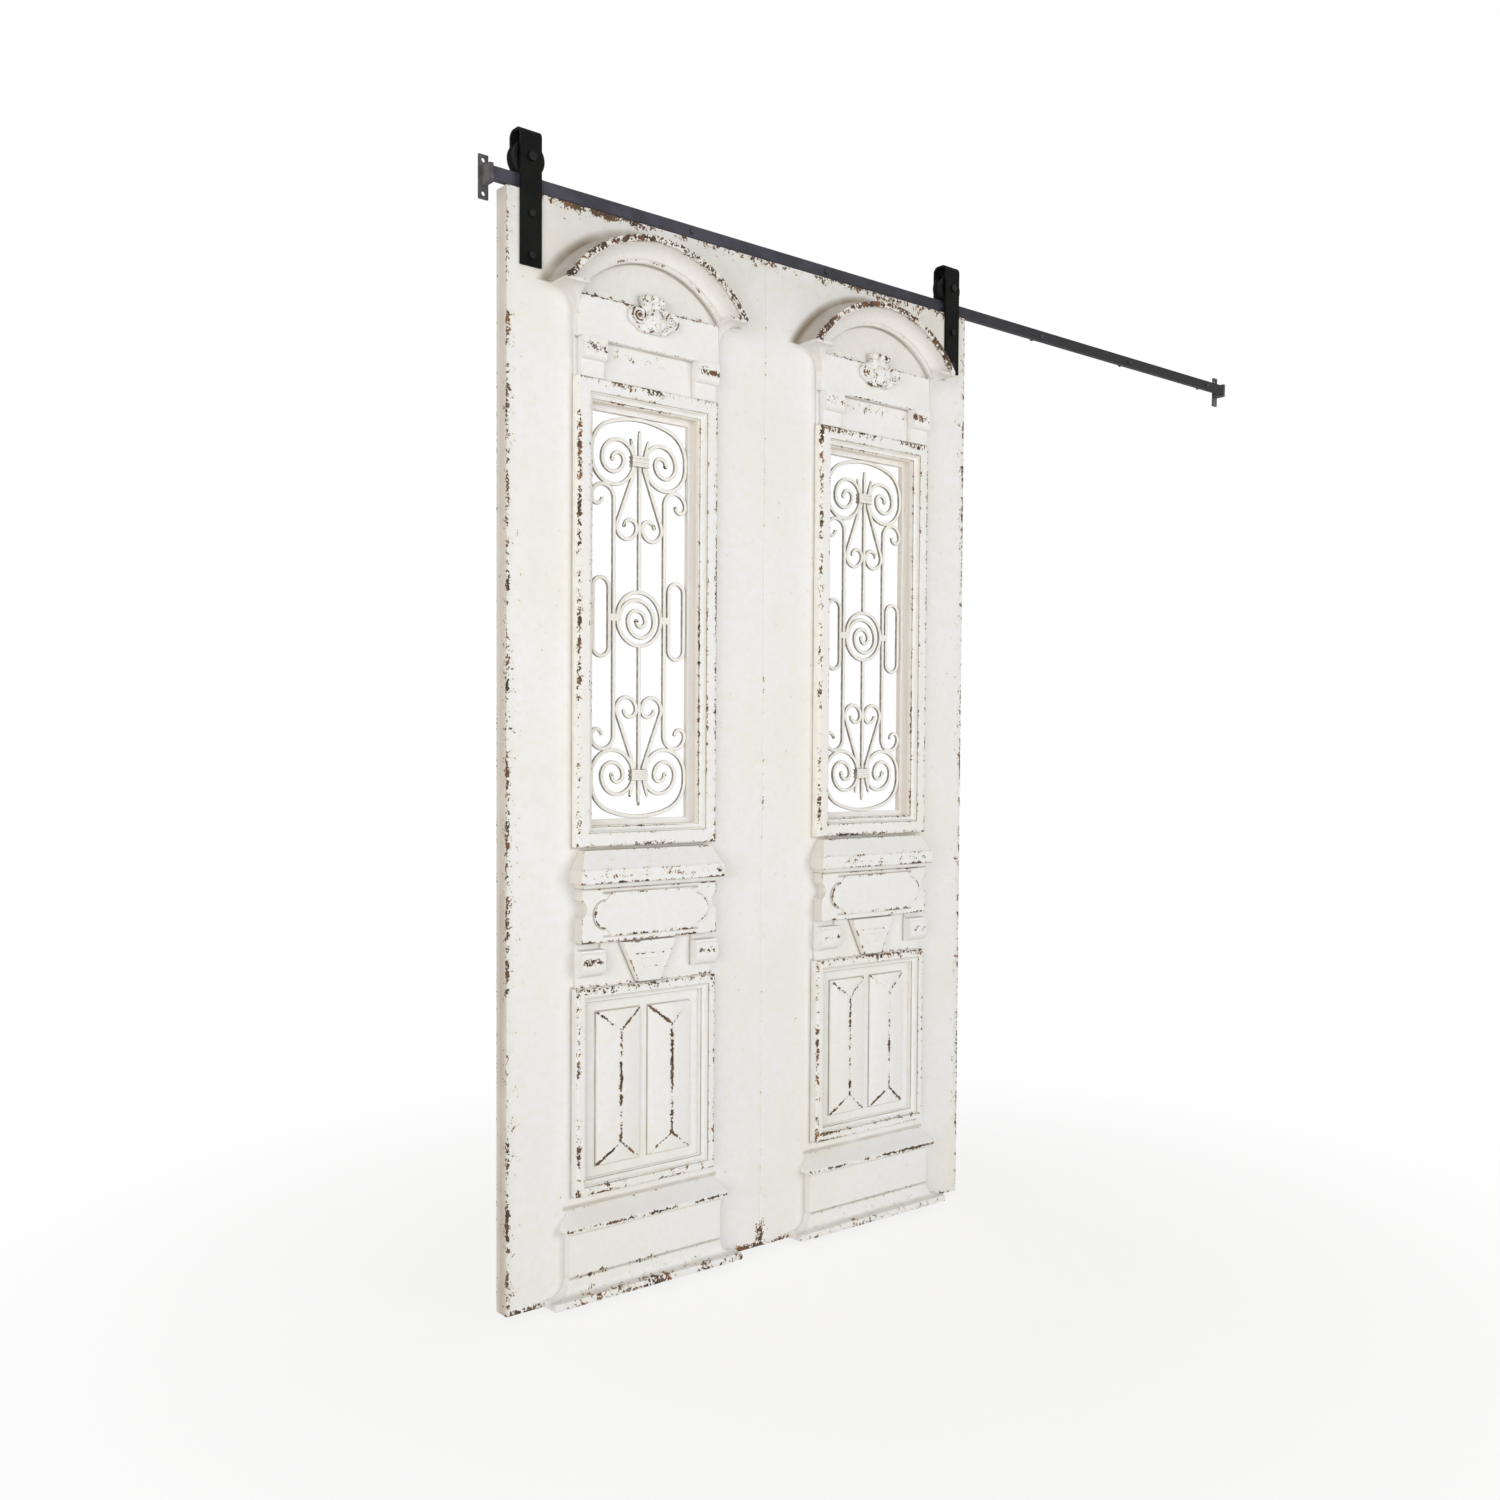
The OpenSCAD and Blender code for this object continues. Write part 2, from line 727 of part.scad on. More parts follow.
// Two stepped brackets in the recess of the frieze
module brackets() {
    recess_d = 8;
    margin = 6;
    step_h = 32;
    step_d = 20;
    round_r = 12;
    color(paint) for (m = [-1, 1])
        translate([m * (frieze_w / 2 - margin - bracket_w / 2), 0, frieze_z]) along_x(bracket_w) {
            translate([recess_d, 0]) square([step_d - recess_d, bracket_h]);
            translate([recess_d, step_h + round_r])
                square([bracket_d - recess_d, bracket_h - step_h - round_r]);
            translate([recess_d, step_h]) square([bracket_d - recess_d - round_r, round_r]);
            translate([bracket_d - round_r, step_h + round_r]) circle(round_r);
        }
}

// Moulded frame of the window
module window_frame() {
    color(paint) translate([0, 0, window_z + window_h / 2])
        mitred_frame(window_w, window_h, frame_w);
}

// Scrolled iron grille, drawn flat about its middle
module grille_top() {
    half_w = window_w / 2 - bead_w;
    half_h = window_h / 2 - bead_w;
    side_x = half_w - bar / 2;
    knob_r = 5.5;
    weld_r = bar / 2 + 0.5;
    touch = 1;
    // big arch
    top_y = half_h - bar / 2;
    corner = [arch_corner_r - side_x, half_h - arch_drop];
    drop = top_y - corner[1];
    top_r = (pow(corner[0], 2) + pow(drop, 2) - pow(arch_corner_r, 2)) / (2 * max(drop - arch_corner_r, 2));
    join = atan2(top_r - drop, corner[0]);
    arc_bar([0, top_y - top_r], top_r, 180 - join, join);
    // strands and their scrolls
    volute_y = half_h - volute_drop;
    volute_gap = 14;
    volute_d = side_x - volute_gap;
    hook_y = half_h - hook_drop;
    hook_d = side_x - side_bar_x;
    heart_y = half_h - heart_drop;
    heart_out = side_bar_x - bar + touch;
    heart_in = bar - touch;
    heart_r = (heart_out - heart_in) / 2;
    heart_c = [-heart_in - heart_r, heart_y];
    collar_y = volute_y - collar_h / 2;
    strand = [-bar / 2 - 5, collar_y];
    reach = norm(strand - heart_c);
    lift = atan2(strand[1] - heart_c[1], strand[0] - heart_c[0]) + acos(heart_r / reach);
    lowest = 262;
    for (m = [0, 1]) mirror([m, 0]) {
        arc_bar(corner, arch_corner_r, join, 180);
        translate(corner + arch_corner_r * [cos(join), sin(join)]) circle(weld_r);
        straight_bar([-side_x, volute_y], [-side_x, corner[1]]);
        scroll(-side_x, volute_y, [for (k = [0 : 3]) volute_d - k * volute_step], -1, 1, knob_r);
        scroll(-side_bar_x, hook_y, [hook_d, hook_d - hook_step], 1, -1, knob_r);
        straight_bar([-side_bar_x, -touch], [-side_bar_x, hook_y]);
        straight_bar(strand, heart_c + heart_r * [cos(lift), sin(lift)]);
        arc_bar(heart_c, heart_r, lift, lowest);
        arc_bar(heart_c, heart_r, lowest, 360);
        scroll(-heart_in, heart_y, [2 * heart_r - heart_step], 1, -1, knob_r);
        straight_bar([-10, volute_y], [-22, half_h - spike_drop - 18]);
    }
    straight_bar([0, ring_r], [0, half_h - spike_drop]);
}

// Whole grille: upper half, lower half, rings and spiral of the middle, collars
module grille() {
    half_w = window_w / 2 - bead_w;
    half_h = window_h / 2 - bead_w;
    ring_gap = 3.5;
    side_face = side_bar_x + bar / 2;
    long_x = (half_w + side_face) / 2;
    long_r = (half_w - side_face) / 2 - ring_gap - bar / 2;
    long_y = long_ring_l / 2 - long_r - bar / 2;
    clip_h = 14;
    clip_in = side_bar_x - bar - 2;
    spiral_y = -5;
    knob_r = 5.5;
    collar_d = 14;
    band = 5;
    band_out = 1.5;
    mid_y = bead_depth + bead_t / 2;
    color(iron_paint) translate([0, 0, window_z + window_h / 2]) {
        translate([0, mid_y + bar / 2, 0]) to_room() linear_extrude(bar) {
            for (m = [0, 1]) mirror([0, m]) grille_top();
            difference() {
                circle(ring_r + bar / 2);
                circle(ring_r - bar / 2);
            }
            scroll(bar / 2 + 1 - ring_r, spiral_y, [for (k = [0 : 3]) spiral_d - k * spiral_step],
                   1, 1, knob_r);
            for (m = [0, 1]) mirror([m, 0]) {
                for (s = [0, 180]) translate([long_x, 0]) rotate(s) arc_bar([0, long_y], long_r, 0, 180);
                for (s = [-1, 1]) straight_bar([long_x + s * long_r, -long_y], [long_x + s * long_r, long_y]);
                translate([clip_in, -clip_h / 2]) square([long_x - long_r - clip_in, clip_h]);
            }
        }
        for (m = [-1, 1]) translate([0, mid_y, m * (half_h - volute_drop)]) {
            cube([collar_w, collar_d, collar_h], center = true);
            for (k = [-1 : 1])
                translate([0, 0, k * (collar_h - band) / 2])
                    cube([collar_w + 2 * band_out, collar_d + 2 * band_out, band], center = true);
        }
    }
}

// Weathered sill moulding under the window
module sill() {
    nose = 20;
    lap = 1;
    throat = [8, 12];
    nose_bottom = 10;
    nose_top = 37;
    ease = 4;
    module section() {
        polygon([[-lap, 0], [throat[0], 0], [throat[1], nose_bottom], [nose, nose_bottom], [nose, nose_top],
                 [nose - ease, nose_top + ease], [0, sill_h], [-lap, sill_h]]);
    }
    color(paint) translate([0, 0, sill_z])
        returned_moulding(sill_w - 2 * nose, sill_d - nose, sill_h) {
            section();
            section();
        }
}

// Block under the sill with a hollow in each side
module tablet() {
    hollow_r = 18;
    hollow_out = 6;
    hollow_z = 67;
    color(paint) translate([0, 0, tablet_z]) to_room() linear_extrude(tablet_d) difference() {
        translate([-tablet_w / 2, 0]) square([tablet_w, tablet_h]);
        for (m = [-1, 1]) translate([m * (tablet_w / 2 + hollow_out), hollow_z]) circle(hollow_r);
    }
}

// Raised plaque with hollowed corners and half-round ends
module plaque() {
    corner_r = 14;
    corner_step = 0.5;
    bow = 24;
    bow_r = plaque_h / 2 - corner_r - corner_step;
    body_w = plaque_w - 2 * bow;
    lift = 12;
    color(paint) translate([0, -tablet_d, tablet_z + lift + plaque_h / 2]) to_room()
        linear_extrude(plaque_t) {
            difference() {
                square([body_w, plaque_h], center = true);
                for (x = [-1, 1], z = [-1, 1])
                    translate([x * body_w / 2, z * plaque_h / 2]) circle(corner_r);
            }
            for (m = [-1, 1]) translate([m * (plaque_w / 2 - bow_r), 0]) circle(bow_r);
        }
}

// Apron board under the tablet
module apron() {
    color(paint) translate([0, 0, apron_z]) along_x(tablet_w) square([apron_d, apron_h]);
}

// Keystone on the apron with an incised line and a small tablet
module keystone() {
    foot_w = 54;
    gap = 4;
    h = apron_h - 2 * gap;
    line_h = 2;
    line_w = 66;
    line_z = 56;
    tab_w = 44;
    tab_h = 18;
    tab_z = 28;
    tab_t = 3;
    thick = keystone_d - apron_d;
    color(paint) translate([0, -apron_d, apron_z + gap]) to_room() {
        difference() {
            linear_extrude(thick)
                polygon([[-foot_w / 2, 0], [foot_w / 2, 0], [keystone_w / 2, h], [-keystone_w / 2, h]]);
            translate([-line_w / 2, line_z, thick - line_h]) cube([line_w, line_h, 2 * line_h]);
        }
        translate([-tab_w / 2, tab_z, thick]) cube([tab_w, tab_h, tab_t]);
    }
}

// Two corbels with rounded feet beside the keystone
module corbels() {
    drop = 13;
    round_r = 22;
    cap = 6;
    out = 2;
    color(paint) for (m = [-1, 1])
        translate([m * (tablet_w / 2 + out - corbel_w / 2), 0, tablet_z - drop - corbel_h])
            along_x(corbel_w) {
                translate([apron_d, round_r]) square([corbel_d - apron_d, corbel_h - round_r - cap]);
                translate([apron_d, 0]) square([corbel_d - round_r - apron_d, corbel_h - cap]);
                intersection() {
                    translate([corbel_d - round_r, round_r]) circle(round_r);
                    translate([apron_d, 0]) square([corbel_d, 2 * round_r]);
                }
                translate([apron_d, round_r]) square([corbel_d - 3 - apron_d, corbel_h - round_r]);
            }
}

// Moulded frame of the lower panel
module panel_frame() {
    color(paint) translate([0, 0, panel_frame_z + panel_frame_h / 2])
        mitred_frame(panel_field_w, panel_field_h, panel_rim);
}

// Two hipped raised panels
module panels() {
    edge = 5;
    hip = 41;
    color(paint) for (m = [-1, 1])
        translate([m * (panel_w + panel_gap) / 2, 0, panel_frame_z + panel_frame_h / 2]) intersection() {
            linear_extrude(panel_h, center = true)
                polygon([[-panel_w / 2, 0], [-panel_w / 2, -edge], [0, -panel_d],
                         [panel_w / 2, -edge], [panel_w / 2, 0]]);
            along_x(panel_w)
                polygon([[0, -panel_h / 2], [edge, -panel_h / 2], [panel_d, hip - panel_h / 2],
                         [panel_d, panel_h / 2 - hip], [edge, panel_h / 2], [0, panel_h / 2]]);
        }
}

// Sloped cap of the plinth
module plinth_cap() {
    inset = 16;
    side = 20;
    front = 32;
    back_d = 2;
    fascia = 12;
    lip = 4;
    color(paint) translate([0, 0, cap_z]) returned_moulding(plinth_w - inset, back_d, cap_h) {
        polygon([[-1, 0], [front - lip, 0], [front, lip], [front, fascia], [0, cap_h], [-1, cap_h]]);
        polygon([[-1, 0], [side - lip, 0], [side, lip], [side, fascia], [0, cap_h], [-1, cap_h]]);
    }
}

// Plinth block
module plinth() {
    color(paint) translate([0, 0, base_h]) along_x(plinth_w) square([plinth_d, plinth_h]);
}

// Flared base of the plinth
module plinth_base() {
    side = 46;
    front = 20;
    fascia = 14;
    color(paint) translate([0, 0, base_h]) mirror([0, 0, 1])
        returned_moulding(plinth_w, plinth_d, base_h) {
            cove_flare(front, base_h, fascia);
            cove_flare(side, base_h, fascia);
        }
}

rail();
wall_bracket(1);  // left_wall_bracket
wall_bracket(0);  // right_wall_bracket
rail_spacers();
rail_bolts();
hanger(0);  // left_hanger
hanger(1);  // right_hanger
axle(0);  // left_axle
axle(1);  // right_axle
axle_nuts();
hanger_bolts();
hanger_nuts();
wheel(0);  // left_wheel
wheel(1);  // right_wheel
bush(0);  // left_bush
bush(1);  // right_bush
seam_dowels();
slab(0);  // left_slab
leaf(0) hood();  // left_hood
leaf(0) flares();  // left_flares
leaf(0) medallion();  // left_medallion
leaf(0) frieze();  // left_frieze
leaf(0) brackets();  // left_brackets
leaf(0) window_frame();  // left_window_frame
leaf(0) grille();  // left_grille
leaf(0) sill();  // left_sill
leaf(0) tablet();  // left_tablet
leaf(0) plaque();  // left_plaque
leaf(0) apron();  // left_apron
leaf(0) keystone();  // left_keystone
leaf(0) corbels();  // left_corbels
leaf(0) panel_frame();  // left_panel_frame
leaf(0) panels();  // left_panels
leaf(0) plinth_cap();  // left_plinth_cap
leaf(0) plinth();  // left_plinth
leaf(0) plinth_base();  // left_plinth_base
slab(1);  // right_slab
leaf(1) hood();  // right_hood
leaf(1) flares();  // right_flares
leaf(1) medallion();  // right_medallion
leaf(1) frieze();  // right_frieze
leaf(1) brackets();  // right_brackets
leaf(1) window_frame();  // right_window_frame
leaf(1) grille();  // right_grille
leaf(1) sill();  // right_sill
leaf(1) tablet();  // right_tablet
leaf(1) plaque();  // right_plaque
leaf(1) apron();  // right_apron
leaf(1) keystone();  // right_keystone
leaf(1) corbels();  // right_corbels
leaf(1) panel_frame();  // right_panel_frame
leaf(1) panels();  // right_panels
leaf(1) plinth_cap();  // right_plinth_cap
leaf(1) plinth();  // right_plinth
leaf(1) plinth_base();  // right_plinth_base
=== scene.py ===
"""Looks of a sliding door: two chipped white leaves with scrolled grilles on a flat bar rail.

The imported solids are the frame. The wooden and steel solids keep their shape and get softened
arrises and procedural finishes. The grilles and the carved medallions are made here as surfaces,
because their rounded bars and carving are beyond plain solids. Sizes are in millimetres in the
leaf's own frame (u to the right of its middle, d towards the room, v up from its foot) and are
turned into metres of the shared frame by LeafPlace.
"""

import logging
import math
from dataclasses import dataclass, field
from enum import Enum
from functools import reduce
from typing import Iterable, Sequence, Union

import bpy
import numpy as np
from mathutils import Matrix, Vector


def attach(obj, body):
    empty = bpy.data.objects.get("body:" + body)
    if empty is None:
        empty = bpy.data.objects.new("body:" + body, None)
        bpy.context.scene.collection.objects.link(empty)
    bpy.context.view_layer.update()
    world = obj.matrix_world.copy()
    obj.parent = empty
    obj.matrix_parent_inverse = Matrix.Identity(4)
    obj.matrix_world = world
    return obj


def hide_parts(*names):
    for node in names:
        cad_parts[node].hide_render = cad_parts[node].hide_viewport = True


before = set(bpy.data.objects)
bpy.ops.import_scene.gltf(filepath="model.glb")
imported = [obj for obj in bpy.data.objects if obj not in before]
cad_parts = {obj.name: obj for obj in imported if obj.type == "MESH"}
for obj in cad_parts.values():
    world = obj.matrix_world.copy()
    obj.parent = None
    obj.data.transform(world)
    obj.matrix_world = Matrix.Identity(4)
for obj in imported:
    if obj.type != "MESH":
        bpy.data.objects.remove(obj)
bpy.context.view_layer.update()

LOG = logging.getLogger("sliding_door")
MM = 0.001
UP = (0.0, 0.0, 1.0)
BOTH = (1.0, -1.0)

Point = tuple[float, float, float]
Colour = tuple[float, float, float, float]
Socket = bpy.types.NodeSocket
Feed = Union[float, Sequence[float], Socket]


def linear(code: str) -> Colour:
    """Turns a display colour into the linear one that the shaders use.

    Args:
        code: Six hexadecimal digits, red, green and blue.

    Returns:
        Linear red, green, blue and an alpha of one.
    """
    parts = np.array([int(code[i:i + 2], 16) for i in (0, 2, 4)]) / 255.0
    low = parts / 12.92
    high = ((parts + 0.055) / 1.055) ** 2.4
    red, green, blue = np.where(parts <= 0.04045, low, high)
    return (float(red), float(green), float(blue), 1.0)


class LeafSide(Enum):
    """Which of the two leaves of the door."""

    LEFT = "left"
    RIGHT = "right"


class Grain(Enum):
    """Direction of the brush strokes and of the grain under the paint."""

    UPRIGHT = "upright"
    LEVEL = "level"


@dataclass(frozen=True)
class LeafPlace:
    """Where a leaf stands in the shared frame.

    Attributes:
        side: The leaf.
        middle_x: Middle of the leaf, in millimetres.
        front_y: Front of its boards.
        foot_z: Its lower end.
        width: Width of the leaf.
        height: Height of the leaf.
        thick: Thickness of its boards.
    """

    side: LeafSide
    middle_x: float
    front_y: float = -45.0
    foot_z: float = -2152.5
    width: float = 635.0
    height: float = 2134.0
    thick: float = 38.0

    def at(self, u: float, d: float, v: float) -> Point:
        """Gives the point u right of the middle, d out of the front and v over the foot, in metres."""
        return ((self.middle_x + u) * MM, (self.front_y - d) * MM, (self.foot_z + v) * MM)

    @property
    def outer(self) -> float:
        """Side of the leaf that is an edge of the door: -1 left, 1 right."""
        return -1.0 if self.side is LeafSide.LEFT else 1.0


class NodeGraph:
    """Short words for building a shader's nodes."""

    def __init__(self, tree: bpy.types.NodeTree) -> None:
        """Keeps the tree that the nodes go into."""
        self.tree = tree

    def feed(self, socket: Socket, value: Feed) -> None:
        """Links a socket to another, or sets its constant.

        Args:
            socket: The socket that is fed.
            value: Another socket, or a number, a vector or a colour.
        """
        if isinstance(value, bpy.types.NodeSocket):
            self.tree.links.new(value, socket)
        else:
            socket.default_value = value

    def node(self, kind: str, inputs: Iterable[tuple[Union[int, str], Feed]] = (),
             **settings: object) -> bpy.types.Node:
        """Adds a node.

        Args:
            kind: The node's type name.
            inputs: Names or numbers of its inputs, with what feeds them.
            **settings: Properties to set on it.

        Returns:
            The node.
        """
        made = self.tree.nodes.new(kind)
        for name, value in settings.items():
            setattr(made, name, value)
        for key, value in inputs:
            self.feed(made.inputs[key], value)
        return made

    def math(self, operation: str, *values: Feed, clamp: bool = False) -> Socket:
        """Works out a number from numbers."""
        return self.node("ShaderNodeMath", enumerate(values), operation=operation, use_clamp=clamp).outputs[0]

    def vector(self, operation: str, *values: Feed) -> Socket:
        """Works out a vector from vectors."""
        return self.node("ShaderNodeVectorMath", enumerate(values), operation=operation).outputs["Vector"]

    def scalar(self, operation: str, *values: Feed) -> Socket:
        """Works out a number from vectors, such as a length or a dot product."""
        return self.node("ShaderNodeVectorMath", enumerate(values), operation=operation).outputs["Value"]

    def parts(self, value: Socket) -> tuple[Socket, ...]:
        """Splits a vector into its three numbers."""
        return tuple(self.node("ShaderNodeSeparateXYZ", ((0, value),)).outputs)

    def hypot(self, first: Socket, second: Socket) -> Socket:
        """Gives the root of the sum of two squares."""
        squares = (self.math("MULTIPLY", side, side) for side in (first, second))
        return self.math("SQRT", self.math("ADD", *squares))

    def weighted(self, start: float, *terms: tuple[Socket, float]) -> Feed:
        """Adds numbers, each times its own factor, to a start."""
        return reduce(lambda total, term: self.math("MULTIPLY_ADD", *term, total), terms, start)

    def highest(self, values: Sequence[Socket]) -> Feed:
        """Gives the highest of some numbers, or nought where there are none."""
        return reduce(lambda found, value: self.math("MAXIMUM", found, value), values) if values else 0.0

    def step(self, value: Feed, start: float, end: float, low: float = 0.0, high: float = 1.0) -> Socket:
        """Eases from low to high while the value goes from start to end."""
        inputs = (("Value", value), ("From Min", start), ("From Max", end), ("To Min", low), ("To Max", high))
        return self.node("ShaderNodeMapRange", inputs, interpolation_type="SMOOTHSTEP").outputs["Result"]

    def noise(self, point: Socket, scale: float, detail: float, roughness: float) -> Socket:
        """Adds a noise about one half: clouds to the metre, finer layers and their strength."""
        inputs = (("Vector", point), ("Scale", scale), ("Detail", detail), ("Roughness", roughness))
        return self.node("ShaderNodeTexNoise", inputs).outputs[0]

    def streaks(self, point: Socket, scale: Point, detail: float, roughness: float) -> Socket:
        """Adds a noise with its own scale along each axis, for patterns that run one way."""
        return self.noise(self.vector("MULTIPLY", point, scale), 1.0, detail, roughness)

    def mix(self, share: Feed, first: Feed, second: Feed) -> Socket:
        """Mixes two colours by the share of the second."""
        inputs = ((0, share), (6, first), (7, second))
        return self.node("ShaderNodeMix", inputs, data_type="RGBA").outputs[2]

    def shade(self, share: Feed, first: Socket, second: Socket) -> Socket:
        """Mixes two shaders by the share of the second."""
        return self.node("ShaderNodeMixShader", enumerate((share, first, second))).outputs[0]

    def ramp(self, value: Feed, stops: Iterable[tuple[float, Colour]]) -> Socket:
        """Adds a colour ramp.

        Args:
            value: The number that picks the colour.
            stops: Places from nought to one with their colours.

        Returns:
            The colour.
        """
        made = self.node("ShaderNodeValToRGB", ((0, value),))
        stops = tuple(stops)
        elements = made.color_ramp.elements
        while len(elements) < len(stops):
            elements.new(0.5)
        for element, (place, colour) in zip(elements, stops):
            element.position, element.color = place, colour
        return made.outputs[0]

    def bump(self, shader: bpy.types.Node, height: Feed, strength: float, distance: float) -> None:
        """Gives a shader a relief; strength is how much of it counts, and distance its depth in metres."""
        inputs = (("Strength", strength), ("Distance", distance), ("Height", height))
        self.feed(shader.inputs["Normal"], self.node("ShaderNodeBump", inputs).outputs[0])

    def seen(self, *rays: str) -> Feed:
        """Gives one on the named kinds of light path and nought on the others."""
        path = self.node("ShaderNodeLightPath")
        return self.highest([path.outputs[ray] for ray in rays])

    def object_point(self) -> Socket:
        """Gives the object's own coordinates, in metres."""
        return self.node("ShaderNodeTexCoord").outputs["Object"]


@dataclass(frozen=True)
class WearAndShadeMark:
    """A line where the paint has chipped, also used for painted shade with some grime in inner corners; the
    mark fades out over width from the line.

    Attributes:
        centre: Place from which the line is given, in metres.
        width: Reach of the mark.
        amount: Strength of the mark on the line itself.
    """

    centre: Point
    width: float
    amount: float

    def distance(self, graph: NodeGraph, offset: Socket) -> Socket:
        """Measures how far off the line a point is, by its offset from the centre."""
        raise NotImplementedError

    def mask(self, graph: NodeGraph, point: Socket) -> Socket:
        """Builds the number that says how strongly a point is marked, by wear or by painted shade, from
        nought to the amount.
        """
        offset = graph.vector("SUBTRACT", point, self.centre)
        return graph.step(self.distance(graph, offset), self.width, 0.0, high=self.amount)


@dataclass(frozen=True)
class StraightEdge(WearAndShadeMark):
    """A mark along a straight line that starts at the centre, for wear and for painted shade.

    Attributes:
        run: Way from there to its other end.
    """

    run: Point

    def distance(self, graph: NodeGraph, offset: Socket) -> Socket:
        """Measures to the nearest place between the two ends.

        Args:
            graph: The shader that it is built in.
            offset: The point, from the start.

        Returns:
            The distance.
        """
        square = sum(c * c for c in self.run)
        along = graph.math("DIVIDE", graph.scalar("DOT_PRODUCT", offset, self.run), square, clamp=True)
        nearest = graph.node("ShaderNodeVectorMath", ((0, self.run), ("Scale", along)), operation="SCALE")
        return graph.scalar("LENGTH", graph.vector("SUBTRACT", offset, nearest.outputs["Vector"]))


@dataclass(frozen=True)
class RoundEdge(WearAndShadeMark):
    """A mark along a circle that faces the room, for wear and for painted shade.

    Attributes:
        radius: Its radius.
    """

    radius: float

    def distance(self, graph: NodeGraph, offset: Socket) -> Socket:
        """Joins how far off the radius and how far off the circle's plane a point is."""
        x, y, z = graph.parts(offset)
        return graph.hypot(graph.math("SUBTRACT", graph.hypot(x, z), self.radius), y)


@dataclass(frozen=True)
class RoundPart(RoundEdge):
    """A mark along the part of a circle that lies one way from its centre, for wear and for painted shade.

    Attributes:
        way: That way.
        start: How far off it begins.
        end: How far off it counts in full.
    """

    way: Point
    start: float = 0.0
    end: float = 0.004

    def mask(self, graph: NodeGraph, point: Socket) -> Socket:
        """Counts the circle's mark only where the point lies far enough that way."""
        ahead = graph.scalar("DOT_PRODUCT", graph.vector("SUBTRACT", point, self.centre), self.way)
        return graph.math("MULTIPLY", super().mask(graph, point), graph.step(ahead, self.start, self.end))


@dataclass(frozen=True)
class RoundSide(RoundEdge):
    """Painted shade with some grime on all that lies outside a circle, fading over the width inside it; it
    darkens the hood's outer face.
    """

    def distance(self, graph: NodeGraph, offset: Socket) -> Socket:
        """Measures from the circle towards its axis."""
        x, _, z = graph.parts(offset)
        return graph.math("SUBTRACT", self.radius, graph.hypot(x, z))


@dataclass(frozen=True)
class LoopEdge(WearAndShadeMark):
    """A mark along a rectangle that faces the room, as on a frame, for wear and for painted shade.

    Attributes:
        half: Half its width, nought and half its height.
    """

    half: Point

    def distance(self, graph: NodeGraph, offset: Socket) -> Socket:
        """Joins how far off the nearest side and how far off the plane a point is."""
        x, _, z = graph.parts(graph.vector("SUBTRACT", graph.vector("ABSOLUTE", offset), self.half))
        return graph.hypot(graph.math("MAXIMUM", x, z), graph.parts(offset)[1])


@dataclass(frozen=True)
class WornAttribute:
    """Wear that a made piece carries on its own points.

    Attributes:
        name: Name of the attribute.
        amount: Factor on its value.
    """

    name: str
    amount: float

    def mask(self, graph: NodeGraph, _: Socket) -> Socket:
        """Gives the attribute times the amount."""
        source = graph.node("ShaderNodeAttribute", attribute_name=self.name)
        return graph.math("MULTIPLY", source.outputs["Fac"], self.amount)


Places = Sequence[Union[WearAndShadeMark, WornAttribute]]


def new_material(name: str) -> tuple[bpy.types.Material, NodeGraph, bpy.types.Node]:
    """Starts a material with one shader.

    Args:
        name: The material's name.

    Returns:
        The material, its graph and the shader node.
    """
    material = bpy.data.materials.new(name)
    material.use_nodes = True
    material.node_tree.nodes.clear()
    graph = NodeGraph(material.node_tree)
    shader = graph.node("ShaderNodeBsdfPrincipled")
    graph.node("ShaderNodeOutputMaterial", (("Surface", shader.outputs[0]),))
    return material, graph, shader


